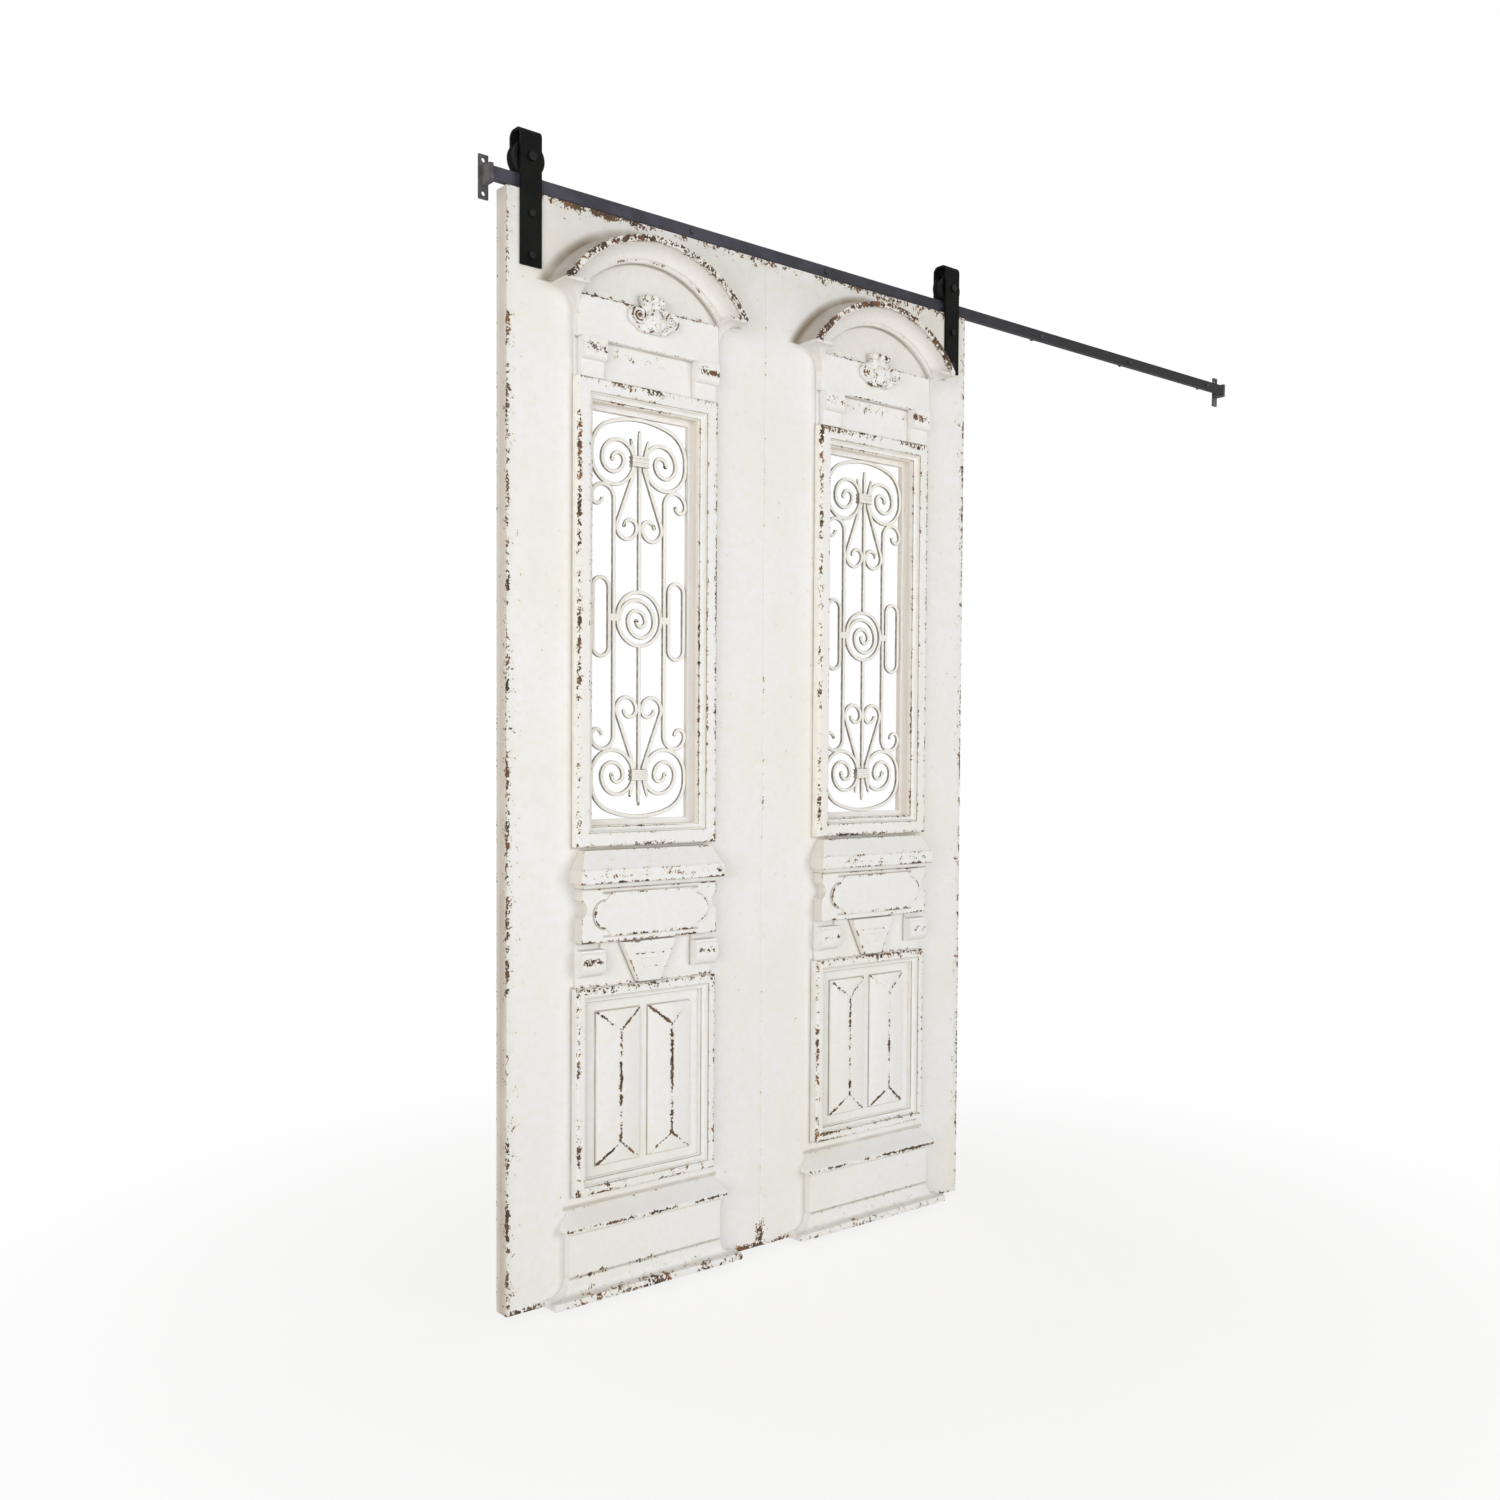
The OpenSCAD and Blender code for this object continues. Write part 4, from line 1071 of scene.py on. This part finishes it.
@dataclass
class Medallion:
    """Carved boss of one leaf, a surface of height over its outline.

    Attributes:
        place: The leaf.
        foot_v: Height on the leaf of the top of the frieze, from which its sizes run.
        frieze_d: Projection of the frieze that its lower part stands on.
        field_d: Projection of the sunk field behind its crest.
        middle_z: Height of the point from which its rays run.
        plate: Height of its plain ground over the frieze.
        volute: Place of a volute, sideways and up, and its radius.
        circles: Circles that make its outline besides the volutes: place and radius, both sides alike.
        beads: Beads of the crest: place and radius.
        rays: Points round the outline.
        rings: Points from the middle to the outline.
    """

    place: LeafPlace
    foot_v: float = 1963.0
    frieze_d: float = 21.0
    field_d: float = 13.0
    middle_z: float = -12.0
    plate: float = 11.0
    volute: Point = (39.0, -22.0, 20.0)
    circles: tuple[Point, ...] = ((0.0, -19.0, 33.0), (18.0, 14.0, 10.0), (0.0, 15.0, 11.0),
                                  (20.0, -26.0, 27.0), (9.0, 6.0, 16.0))
    beads: tuple[Point, ...] = ((-18.0, 13.5, 9.0), (0.0, 15.5, 10.0), (18.0, 13.5, 9.0))
    rays: int = 320
    rings: int = 64

    def outline(self, angle: np.ndarray) -> np.ndarray:
        """Distance from the middle to the edge for each angle.

        It is the furthest that a ray goes through any of the circles that make the outline:
        along the ray to the circle's foot, plus the half chord there. A short blur softens it.

        Args:
            angle: Angles of the rays.

        Returns:
            The distances.
        """
        right = np.array((self.volute,) + self.circles)
        circles = np.concatenate([right, right * np.array([-1.0, 1.0, 1.0])])
        ray = np.stack([np.cos(angle), np.sin(angle)], axis=1)
        centre = circles[:, :2] - np.array([0.0, self.middle_z])
        along = ray @ centre.T
        square = circles[:, 2] ** 2 - (centre ** 2).sum(1)[None] + along ** 2
        edge = np.where(square > 0, along + np.sqrt(np.maximum(square, 0.0)), 0.0).max(1)
        blur = np.array([1.0, 2.0, 3.0, 2.0, 1.0]) / 9.0
        return np.convolve(np.concatenate([edge[-2:], edge, edge[:2]]), blur, mode="valid")

    def scroll(self, x: np.ndarray, z: np.ndarray) -> np.ndarray:
        """Height of the volute at the right.

        It is a ridge along a spiral, from the cosine of how far the radius runs ahead of the
        turn, with a ball for its eye.

        Args:
            x: Sideways places.
            z: Upright places.

        Returns:
            The heights, nought outside the volute.
        """
        middle_x, middle_z, reach = self.volute
        pitch, valley, crest, sharp, rim = 8.6, 12.0, 5.0, 0.8, 1.5
        eye_r, eye_h, eye_square = 5.5, 13.0, 30.3
        dx, dz = x - middle_x, z - middle_z
        radius = np.hypot(dx, dz)
        turn = np.arctan2(dz, dx) / (2 * np.pi)
        ridge = 0.5 + 0.5 * np.cos(2 * np.pi * (radius / pitch + turn))
        eye = eye_h + np.sqrt(np.maximum(eye_square - radius ** 2, 0.0))
        rise = np.where(radius < eye_r, eye, valley + crest * ridge ** sharp)
        return np.where(radius < reach - rim, rise, 0.0)

    def relief(self, x: np.ndarray, z: np.ndarray) -> np.ndarray:
        """Height of the carving over the frieze.

        The shell is a dome cut by the cosine of the angle about its hinge. The garland is a
        bell curve across a circle, and the leaves are one across two slanting lines. The crest
        is a row of three beads. The highest of them and of the volutes counts.

        Args:
            x: Sideways places.
            z: Upright places.

        Returns:
            The heights.
        """
        hinge_z, cuts, cut = 2.0, 11.0, 0.20
        dome_z, dome_r, dome_h = -29.0, 25.0, 15.0
        garland_z, garland_r, garland_w, garland_h, garland_top = 6.0, 47.0, 3.2, 5.5, -22.0
        leaf_x, leaf_z, lean, leaf_w, leaf_l, leaf_h = 9.0, 1.0, 0.55, 4.5, 9.0, 8.0
        lean_z, low, swell = 4.0, 10.0, 0.95
        hinge = np.arctan2(x, hinge_z - z)
        oval = np.clip(1.0 - (x / dome_r) ** 2 - ((z - dome_z) / dome_r) ** 2, 0.0, 1.0)
        flutes = 1.0 - cut + cut * np.cos(cuts * hinge)
        garland = np.exp(-((np.hypot(x, z - garland_z) - garland_r) / garland_w) ** 2) * (z < garland_top)
        aside = np.abs(x) - leaf_x - lean * (lean_z - z)
        leaf = np.exp(-(aside / leaf_w) ** 2) * np.exp(-((z - leaf_z) / leaf_l) ** 2)
        heights = [self.scroll(side * x, z) for side in BOTH]
        heights += [self.plate + dome_h * np.sqrt(oval) * flutes, self.plate + garland_h * garland]
        for bead_x, bead_z, bead_r in self.beads:
            inside = bead_r ** 2 - (x - bead_x) ** 2 - (z - bead_z) ** 2
            heights.append(low + swell * np.sqrt(np.maximum(inside, 0.0)))
        return np.max(heights + [low + leaf_h * leaf], axis=0)

    def build(self, paint: bpy.types.Material) -> bpy.types.Object:
        """Makes the carving and puts it in its solid's place.

        The front is a grid of angle and share of the way to the outline; a rim falls from its
        edge to the ground behind it, and the back is closed to one point. Ridges, where the
        front bends away on both sides, are worn.

        Args:
            paint: Its finish.

        Returns:
            The object.
        """
        spacing, edge_h, edge_start = 0.8, 5.0, 0.94
        plain_worn, most_worn, rim_worn, tip_worn = 0.45, 0.9, 0.2, 0.3
        angle = np.linspace(0.0, 2 * np.pi, self.rays, endpoint=False)
        share = np.linspace(0.0, 1.0, self.rings + 1)[1:, None] ** spacing
        reach = share * self.outline(angle)[None]
        x, z = reach * np.cos(angle), self.middle_z + reach * np.sin(angle)
        height = self.relief(x, z)
        height -= edge_h * np.clip((share - edge_start) / (1.0 - edge_start), 0.0, 1.0) ** 2
        ground = np.where(z[-1] > 0.0, self.field_d, self.frieze_d)
        out = np.concatenate([self.frieze_d + height, ground[None]])
        x, z = (np.concatenate([a, a[-1:]]) for a in (x, z))
        middle_h = float(self.relief(np.zeros(1), np.full(1, self.middle_z))[0])
        x0, y0, z0 = self.place.at(0.0, 0.0, self.foot_v)
        body = np.stack([x0 + x * MM, y0 - out * MM, z0 + z * MM], axis=-1).reshape(-1, 3)
        ends = np.array([[x0, y0 - (self.frieze_d + rise) * MM, z0 + self.middle_z * MM]
                         for rise in (middle_h, 0.0)])
        rows, columns = out.shape
        ring = np.arange(columns)
        faces = [grid_faces(rows, columns, False, True)[:, ::-1], fan(len(body), ring),
                 fan(len(body) + 1, (ring + (rows - 1) * columns)[::-1])]
        bend = sum(np.gradient(np.gradient(out[:-1], axis=axis), axis=axis) for axis in (0, 1))
        ridge = np.clip(plain_worn - bend, 0.0, most_worn)
        shell = Shell()
        shell.add(np.concatenate([body, ends]), faces,
                  np.concatenate([ridge.ravel(), np.full(columns, rim_worn), [tip_worn, 0.0]]))
        name = self.place.side.value
        piece = shell.piece(f"{name}_carving", paint)
        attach(piece, "door")
        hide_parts(f"{name}_medallion")
        return piece


# Paint that differs from the plain coat: a darker, warmer coat on the arch pieces, painted shade on the
# side faces of the boards, the tablet and the sill, and painted light on the side faces of the window frame
DARKER_COAT = {"coat": linear("e6e3df"), "aged": linear("ded9d2")}
SIDE_SHADING = {"slab": "ebe2d8", "tablet": "dcd7cf", "sill": "e3ddd4", "window_frame": "faf6ee"}
COATS = {"hood": DARKER_COAT, "flares": DARKER_COAT, **{name: {"sides": linear(code)} for name, code in SIDE_SHADING.items()}}


@dataclass
class Leaf:
    """One leaf of the door with its mouldings, its grille and its medallion.

    Attributes:
        place: Where it stands.
        arris: Width of the rounding on its wooden edges, in metres.
        arch_v: Height of the middle of its arch.
        panel: Place of a raised panel's middle, sideways and up.
        panel_half: Half the width and half the height of a raised panel.
        bow: Place of the middle of a plaque's half-round end, sideways and up.
        iron: Finish of the grille.
        iron_wear: How much the grille's own wear counts.
        carved: Finish of the medallion.
        carved_wear: How much the medallion's own wear counts.
    """

    place: LeafPlace
    arris: float = 0.0016
    arch_v: float = 1829.0
    panel: tuple[float, float] = (63.5, 410.0)
    panel_half: tuple[float, float] = (53.0, 153.5)
    bow: tuple[float, float] = (111.5, 760.0)
    # The grille's bars have dark brown side faces: painted shade.
    iron: ChippedPaint = ChippedPaint(
        coat=linear("efede9"), sides=linear("5f5549"), chip_level=0.725,
        bare=(linear("2c241d"), linear("5d4a39"), linear("7a4c2e")))
    iron_wear: float = 0.72
    carved: ChippedPaint = ChippedPaint(grain=Grain.LEVEL)
    carved_wear: float = 0.95

    def run(self, u0: float, v0: float, u1: float, v1: float, d: float, width: float, amount: float,
            fall: float = 0.0) -> StraightEdge:
        """Gives a marked line, for wear and for painted shade; its width and its fall towards the wall are in
        millimetres too.
        """
        way = ((u1 - u0) * MM, fall * MM, (v1 - v0) * MM)
        return StraightEdge(self.place.at(u0, d, v0), width * MM, amount, way)

    def level(self, half: float, v: float, d: float, width: float, amount: float) -> StraightEdge:
        """Gives a marked level line about the leaf's middle, for wear and for painted shade."""
        return self.run(-half, v, half, v, d, width, amount)

    def loop(self, half_w: float, v0: float, v1: float, d: float, width: float, amount: float,
             u: float = 0.0) -> LoopEdge:
        """Gives a marked rectangle about the line at u, from height v0 to v1, for wear and for painted shade.
        """
        half = (half_w * MM, 0.0, (v1 - v0) / 2 * MM)
        return LoopEdge(self.place.at(u, d, (v0 + v1) / 2), width * MM, amount, half)

    def arch(self, d: float, radius: float, width: float, amount: float) -> RoundEdge:
        """Gives a marked line along the arch at one projection, for wear and for painted shade."""
        return RoundEdge(self.place.at(0.0, d, self.arch_v), width * MM, amount, radius * MM)

    def bows(self, d: float, radius: float, width: float, amount: float) -> list[WearAndShadeMark]:
        """Gives the marked half circles at the two ends of the plaque, for wear and for painted shade."""
        return [RoundPart(self.place.at(side * self.bow[0], d, self.bow[1]), width * MM, amount, radius * MM,
                          (side, 0.0, 0.0)) for side in BOTH]

    def slab_wear(self) -> list[WearAndShadeMark]:
        """Worn places of the boards: the door's outer edge, its head, its foot and a little of the seam.

        Returns:
            The places.
        """
        run, level = self.run, self.level
        half, top, back = self.place.width / 2, self.place.height, -self.place.thick
        edge = self.place.outer * half
        return [run(edge, 0, edge, top, 0, 15, 0.82), run(edge, 0, edge, top, back, 10, 0.5),
                run(edge, 0, edge, top, 0, 46, 0.42), run(-edge, 0, -edge, top, 0, 5, 0.4),
                level(half, top - 2, 0, 27, 0.86), level(half, top - 8, 0, 50, 0.4),
                level(half, 0, 0, 24, 0.95), level(half, 0, back, 18, 0.8),
                level(half, top, back, 18, 0.7), run(-edge, 0, -edge, top, back, 6, 0.5),
                run(-edge, 0, -edge, 46, 0, 30, 0.7)]

    def panel_wear(self) -> list[WearAndShadeMark]:
        """Worn places of the raised panels: the ridge and the four hips of each.

        Returns:
            The places.
        """
        places: list[WearAndShadeMark] = []
        (middle_u, v), (half_w, half_h) = self.panel, self.panel_half
        hip, foot, tall = 41.0, 5.0, 16.0
        ridge = half_h - hip
        for u in (-middle_u, middle_u):
            places.append(self.run(u, v - ridge, u, v + ridge, tall, 9, 1.0))
            places += [self.run(u, v + z * ridge, u + x * half_w, v + z * half_h, tall, 7, 0.85, tall - foot)
                       for x in BOTH for z in BOTH]
        return places

    def wear(self) -> dict[str, tuple[Grain, list[WearAndShadeMark]]]:
        """Lists the stroke direction and the worn places of every wooden solid of the leaf.

        Returns:
            Direction and places by the solid's name.
        """
        run, level, loop, arch = self.run, self.level, self.loop, self.arch
        upright, flat = Grain.UPRIGHT, Grain.LEVEL
        return {
            "slab": (upright, self.slab_wear()),
            "hood": (flat, [
                arch(60, 259, 20, 1.06), arch(60, 264, 8, 1.0), arch(27, 223, 5, 0.45),
                level(172, 1966, 14, 7, 0.6)]),
            "flares": (flat, [level(250, 1975, 58, 9, 0.6)]),
            "frieze": (flat, [
                level(172, 1962, 20, 9, 0.95), level(172, 1880, 21, 7, 0.6), level(120, 1862, 8, 26, 0.42)]),
            "brackets": (upright, [run(u - 24, 1862, u + 24, 1858, 34, 17, 0.8) for u in (-138, 138)]),
            "window_frame": (upright, [
                loop(169, 896, 1802, 20, 12, 0.82), loop(146, 919, 1779, 21, 5, 0.6),
                loop(133, 932, 1766, 9, 6, 0.7), level(168, 1797, 22, 16, 0.7)]),
            "sill": (flat, [
                level(177, 822, 44, 10, 0.95), level(177, 849, 44, 8, 0.6), level(177, 836, 44, 18, 0.55),
                level(150, 886, 24, 7, 0.5)]),
            "tablet": (flat, [loop(167, 705, 812, 29, 7, 0.7), level(167, 706, 29, 8, 0.8)]),
            "plaque": (flat, [
                *self.bows(35, 28.5, 7, 0.8), level(116, 802, 35, 7, 0.6), level(116, 718, 35, 9, 0.95)]),
            "apron": (flat, [level(167, 617, 9, 8, 0.5)]),
            "keystone": (flat, [
                level(34, 675, 24, 4, 0.9), level(64, 700, 24, 5, 0.5), run(-27, 619, -67, 701, 24, 5, 0.6),
                run(27, 619, 67, 701, 24, 5, 0.6), level(22, 646, 27, 8, 0.5)]),
            "corbels": (upright, [
                run(u - 16, 668, u + 16, 668, 34, 17, amount) for u, amount in ((-140, 0.85), (140, 0.6))]),
            "panel_frame": (upright, [
                loop(169, 208, 612, 20, 11, 0.74), loop(155, 222, 598, 21, 4, 0.55),
                level(168, 607, 22, 14, 0.5), level(168, 222, 22, 14, 0.62)]),
            "panels": (upright, self.panel_wear()),
            "plinth_cap": (flat, [
                level(200, 146, 34, 8, 0.95), level(200, 139, 30, 7, 0.6), level(180, 180, 3, 5, 0.4)]),
            "plinth": (flat, [level(188, 52, 22, 9, 0.5)]),
            "plinth_base": (flat, [
                level(234, 4, 42, 14, 0.62), level(234, 16, 40, 28, 0.52), level(200, 30, 32, 22, 0.45),
                level(190, 48, 22, 8, 0.5)]),
        }

    def corners(self) -> dict[str, list[WearAndShadeMark]]:
        """Lists where the wooden solids are darkened by painted shade, with some grime, in inner corners and
        round the parts that stand out.

        Returns:
            Places by the solid's name.
        """
        run, level, loop, arch = self.run, self.level, self.loop, self.arch
        (middle_u, v), (half_w, half_h) = self.panel, self.panel_half
        edge, top, inside = self.place.outer * self.place.width / 2, self.place.height, -self.place.thick / 2
        axis = self.place.at(0.0, 0.0, self.arch_v)
        return {
            # On the boards: painted shadows round the panels, the frames, the hood and the plinth's cap,
            # painted shade on the outer edge face, darker low, and painted shade towards the top under the
            # rail.
            "slab": [
                *(loop(half_w, v - half_h, v + half_h, 0, 4, 0.7, u) for u in (-middle_u, middle_u)),
                loop(172, 893, 1805, 0, 7, 0.5), loop(172, 205, 615, 0, 7, 0.55),
                RoundPart(axis, 22 * MM, 0.9, 276 * MM, UP, start=0.142, end=0.146),
                level(188, 183, 0, 8, 0.5), run(edge, 0, edge, 800, inside, 27, 0.45),
                run(edge, 0, edge, top, inside, 27, 0.3), level(320, top, 0, 210, 0.2)],
            # On the hood: painted shade in its grooves, at its foot and over its outer face, with some grime.
            "hood": [
                arch(13, 219, 5, 0.6), arch(55, 252, 3, 0.5), arch(0, 275, 40, 0.9),
                RoundSide(axis, 3 * MM, 0.55, 266 * MM)],
            "frieze": [level(172, 1880, 8, 6, 0.6), level(172, 1805, 8, 5, 0.5)],
            "window_frame": [loop(145, 920, 1778, 19, 2.6, 0.85), loop(134, 931, 1767, 8, 2.6, 0.8)],
            "sill": [level(177, 812, 30, 6, 0.6), level(170, 822, 34, 4, 0.5)],
            "tablet": [
                *self.bows(29, 29, 4, 0.6), level(116, 717, 29, 4, 0.6), level(116, 803, 29, 5, 0.7),
                level(167, 812, 29, 5, 0.6)],
            "apron": [
                *(run(u, 640, u, 705, 9, 5, 0.6) for u in (-113, 113)), run(-27, 619, -67, 701, 9, 5, 0.7),
                run(27, 619, 67, 701, 9, 5, 0.7), level(167, 705, 9, 6, 0.6)],
            "panel_frame": [loop(155, 222, 598, 19, 2.6, 0.85), loop(144, 233, 587, 8, 2.6, 0.8)],
            "plinth": [level(188, 138, 22, 6, 0.55), level(188, 50, 22, 5, 0.55)],
            "plinth_base": [level(234, 14, 30, 12, 0.4), level(188, 50, 22, 5, 0.5)],
        }

    def build(self) -> None:
        """Dresses the leaf's solids, then makes its grille and its medallion."""
        side = self.place.side.value
        shade_grime_places = self.corners()
        for name, (grain, places) in self.wear().items():
            finish = ChippedPaint(grain=grain, **COATS.get(name, {}))
            paint = finish.material(f"{side}_{name}_paint", places, shade_grime_places.get(name, ()))
            soften(dress(f"{side}_{name}", paint), self.arris)
            LOG.info("dressed %s_%s with %d worn places", side, name, len(places))
        worn = [WornAttribute("worn", self.iron_wear)]
        Grille(self.place).build(self.iron.material(f"{side}_grille_paint", worn))
        worn = [WornAttribute("worn", self.carved_wear)]
        Medallion(self.place).build(self.carved.material(f"{side}_carving_paint", worn))


@dataclass
class Track:
    """The fixed rail with its end brackets, spacers and bolts.

    Attributes:
        rail: Finish of the bar.
        bracket: Finish of the end brackets.
        fixing: Finish of the bolts.
    """

    rail: Steel = Steel("rail_steel", ("3d3c44", "4d4b56", "6a686d"), 0.55, gloss=0.16, drawn=True,
                        tail="262626")
    bracket: Steel = Steel("worn_bracket", ("48464a", "74716f", "98948e"), 0.55, rubbed=0.12, gloss=0.2)
    fixing: Steel = Steel("rail_bolt_steel", ("2a292d", "3b3a40", "6a676c"), 0.5, rubbed=0.05, gloss=0.3)

    def build(self) -> None:
        """Dresses the solids of the rail."""
        dress_steel(("rail",), self.rail, arris=0.0009)
        dress_steel(("left_wall_bracket", "right_wall_bracket"), self.bracket, arris=0.0007)
        dress_steel(("rail_spacers", "rail_bolts"), self.fixing, arris=0.0004)


@dataclass
class HangingGear:
    """Straps, wheels, axles, bolts and nuts that carry the door, and its hidden dowels.

    Attributes:
        strap: Finish of the straps.
        wheel: Finish of the wheels.
        bolt: Finish of the bolts and nuts.
        bush: Finish of the bushes.
    """

    strap: Steel = Steel("strap_black", ("121312", "1b1c1a", "343330"), 0.6, gloss=0.05)
    wheel: Steel = Steel("wheel_black", ("0f0f0f", "181818", "403e3b"), 0.5, rubbed=0.02, gloss=0.1)
    bolt: Steel = Steel("bolt_black", ("101010", "1a1a1a", "403e3b"), 0.48, rubbed=0.02, gloss=0.16)
    bush: Steel = Steel("bush_bronze", ("7d5c30", "a98047", "c9a56b"), 0.35, rubbed=0.05, metal=0.9)

    def build(self) -> None:
        """Dresses the solids of the hanging gear."""
        bolts = ("left_axle", "right_axle", "axle_nuts", "hanger_bolts", "hanger_nuts")
        dress_steel(("left_hanger", "right_hanger"), self.strap, arris=0.0010)
        dress_steel(("left_wheel", "right_wheel"), self.wheel, arris=0.0006)
        dress_steel(bolts, self.bolt, arris=0.0004)
        dress_steel(("left_bush", "right_bush"), self.bush, arris=0.0003)
        dress("seam_dowels", BareWood().material())
        LOG.info("dressed seam_dowels as bare wood")


@dataclass(frozen=True)
class Lamp:
    """One soft square lamp.

    Attributes:
        name: The lamp's name.
        place: Where it hangs.
        size: Length of its side.
        power: Its power in watts.
        code: Its colour.
    """

    name: str
    place: Point
    size: float
    power: float
    code: str

    def hang(self, aim: Point) -> None:
        """Hangs the lamp.

        Args:
            aim: Place that it points at.
        """
        data = bpy.data.lights.new(self.name, "AREA")
        data.size, data.energy, data.color = self.size, self.power, linear(self.code)[:3]
        made = bpy.data.objects.new(self.name, data)
        made.location = self.place
        made.rotation_euler = (Vector(aim) - Vector(self.place)).to_track_quat("-Z", "Y").to_euler()
        bpy.context.scene.collection.objects.link(made)


@dataclass
class Studio:
    """Camera, floor, background and lamps.

    Attributes:
        eye: Place of the camera.
        yaw: Its turn to the right of the wall's normal, in degrees.
        pitch: Its tilt upwards, in degrees.
        roll: Its turn about its own axis, in degrees.
        lens: Focal length on a 36 mm sensor.
        shift: Shift of the frame, in widths of the picture.
        aim: Place that the lamps point at.
        lamps: The lamps: right, left, above and behind.
        soft: Colour and strength of the light from all round.
        floor_z: Height of the floor.
        floor_half: Half the length of the floor's sides.
        floor_codes: Colours of the floor.
        under: Place on the floor about which the shadow lies.
    """

    eye: Point = (-2.5868, -2.4165, -1.0690)
    yaw: float = 40.0153
    pitch: float = -1.9171
    roll: float = 0.3482
    lens: float = 34.5215
    shift: tuple[float, float] = (-0.0006, 0.0327)
    aim: Point = (-0.45, -0.05, -1.0)
    lamps: tuple[Lamp, ...] = (Lamp("key", (1.1, -4.6, -0.6), 2.8, 91.5, "f9fbfc"),
                               Lamp("fill", (-5.6, -3.2, -0.7), 3.6, 165.0, "f9fafb"),
                               Lamp("top", (-0.4, -2.4, 2.8), 2.6, 5.2, "f9fbfc"),
                               Lamp("back", (-1.2, 4.2, -0.4), 3.0, 47.5, "f9fafa"))
    soft: tuple[str, float] = ("f6f3ee", 0.34)
    floor_z: float = -2.1635
    floor_half: float = 9.0
    floor_codes: tuple[str, str] = ("f4f2ee", "efece7")
    under: tuple[float, float] = (-0.5, -0.2)

    def camera(self) -> None:
        """Places the camera: forward, right and up are turned by yaw, then pitch, then roll."""
        yaw, pitch, roll = (math.radians(a) for a in (self.yaw, self.pitch, self.roll))
        ahead = np.array([math.sin(yaw), math.cos(yaw), 0.0])
        right = np.array([math.cos(yaw), -math.sin(yaw), 0.0])
        up = np.array(UP)
        look = math.cos(pitch) * ahead + math.sin(pitch) * up
        over = -math.sin(pitch) * ahead + math.cos(pitch) * up
        side = math.cos(roll) * right + math.sin(roll) * over
        top = -math.sin(roll) * right + math.cos(roll) * over
        lens = bpy.data.cameras.new("camera")
        lens.lens, lens.sensor_width, lens.clip_end = self.lens, 36.0, 100.0
        lens.shift_x, lens.shift_y = self.shift
        made = bpy.data.objects.new("camera", lens)
        turn = Matrix((side, top, -look)).transposed().to_4x4()
        made.matrix_world = Matrix.Translation(self.eye) @ turn
        bpy.context.scene.collection.objects.link(made)
        bpy.context.scene.camera = made

    def world(self) -> None:
        """Makes the background white to the eye and in reflections, and a soft pale light elsewhere."""
        world = bpy.data.worlds.new("studio")
        world.use_nodes = True
        bpy.context.scene.world = world
        world.node_tree.nodes.clear()
        graph = NodeGraph(world.node_tree)
        seen = graph.seen("Is Camera Ray", "Is Glossy Ray", "Is Transmission Ray")
        soft, white = (graph.node("ShaderNodeBackground", (("Color", linear(code)), ("Strength", strength)))
                       for code, strength in (self.soft, ("ffffff", 1.0)))
        graph.node("ShaderNodeOutputWorld", ((0, graph.shade(seen, soft.outputs[0], white.outputs[0])),))

    def floor(self) -> None:
        """Lays a pale floor that keeps the door's shadow and fades into the white background."""
        number = 25
        places = np.linspace(-self.floor_half, self.floor_half, number)
        x, y = np.meshgrid(places, places, indexing="ij")
        points = np.stack([x, y, np.full_like(x, self.floor_z)], axis=-1).reshape(-1, 3)
        mesh = bpy.data.meshes.new("floor")
        mesh.from_pydata(points.tolist(), [], grid_faces(number, number, False, False)[:, ::-1].tolist())
        material, graph, shader = new_material("pale_floor")
        point = graph.object_point()
        cloud = graph.noise(point, scale=6.0, detail=3.0, roughness=0.5)
        colours = (linear(code) for code in self.floor_codes)
        graph.feed(shader.inputs["Base Color"], graph.mix(cloud, *colours))
        shader.inputs["Roughness"].default_value = 0.85
        away = graph.scalar("LENGTH", graph.vector("SUBTRACT", point, self.under + (self.floor_z,)))
        seen = graph.seen("Is Camera Ray", "Is Glossy Ray")
        share = graph.math("MULTIPLY", seen, graph.step(away, start=0.5, end=2.2, low=0.8))
        glow = graph.node("ShaderNodeEmission")
        output = next(n for n in material.node_tree.nodes if n.type == "OUTPUT_MATERIAL")
        graph.feed(output.inputs["Surface"], graph.shade(share, shader.outputs[0], glow.outputs[0]))
        made = bpy.data.objects.new("floor", mesh)
        mesh.materials.append(material)
        bpy.context.scene.collection.objects.link(made)

    def build(self) -> None:
        """Sets the stage and the view transform."""
        bpy.context.scene.view_settings.view_transform = "Standard"
        self.camera()
        for lamp in self.lamps:
            lamp.hang(self.aim)
        self.world()
        self.floor()
        LOG.info("set up the studio")


def main() -> None:
    """Builds the studio, the rail, the hanging gear and the two leaves."""
    logging.basicConfig(level=logging.INFO, format="%(name)s: %(message)s")
    Studio().build()
    Track().build()
    HangingGear().build()
    for side, middle_x in ((LeafSide.LEFT, -879.5), (LeafSide.RIGHT, -244.5)):
        Leaf(LeafPlace(side, middle_x)).build()


if __name__ == "__main__":
    main()
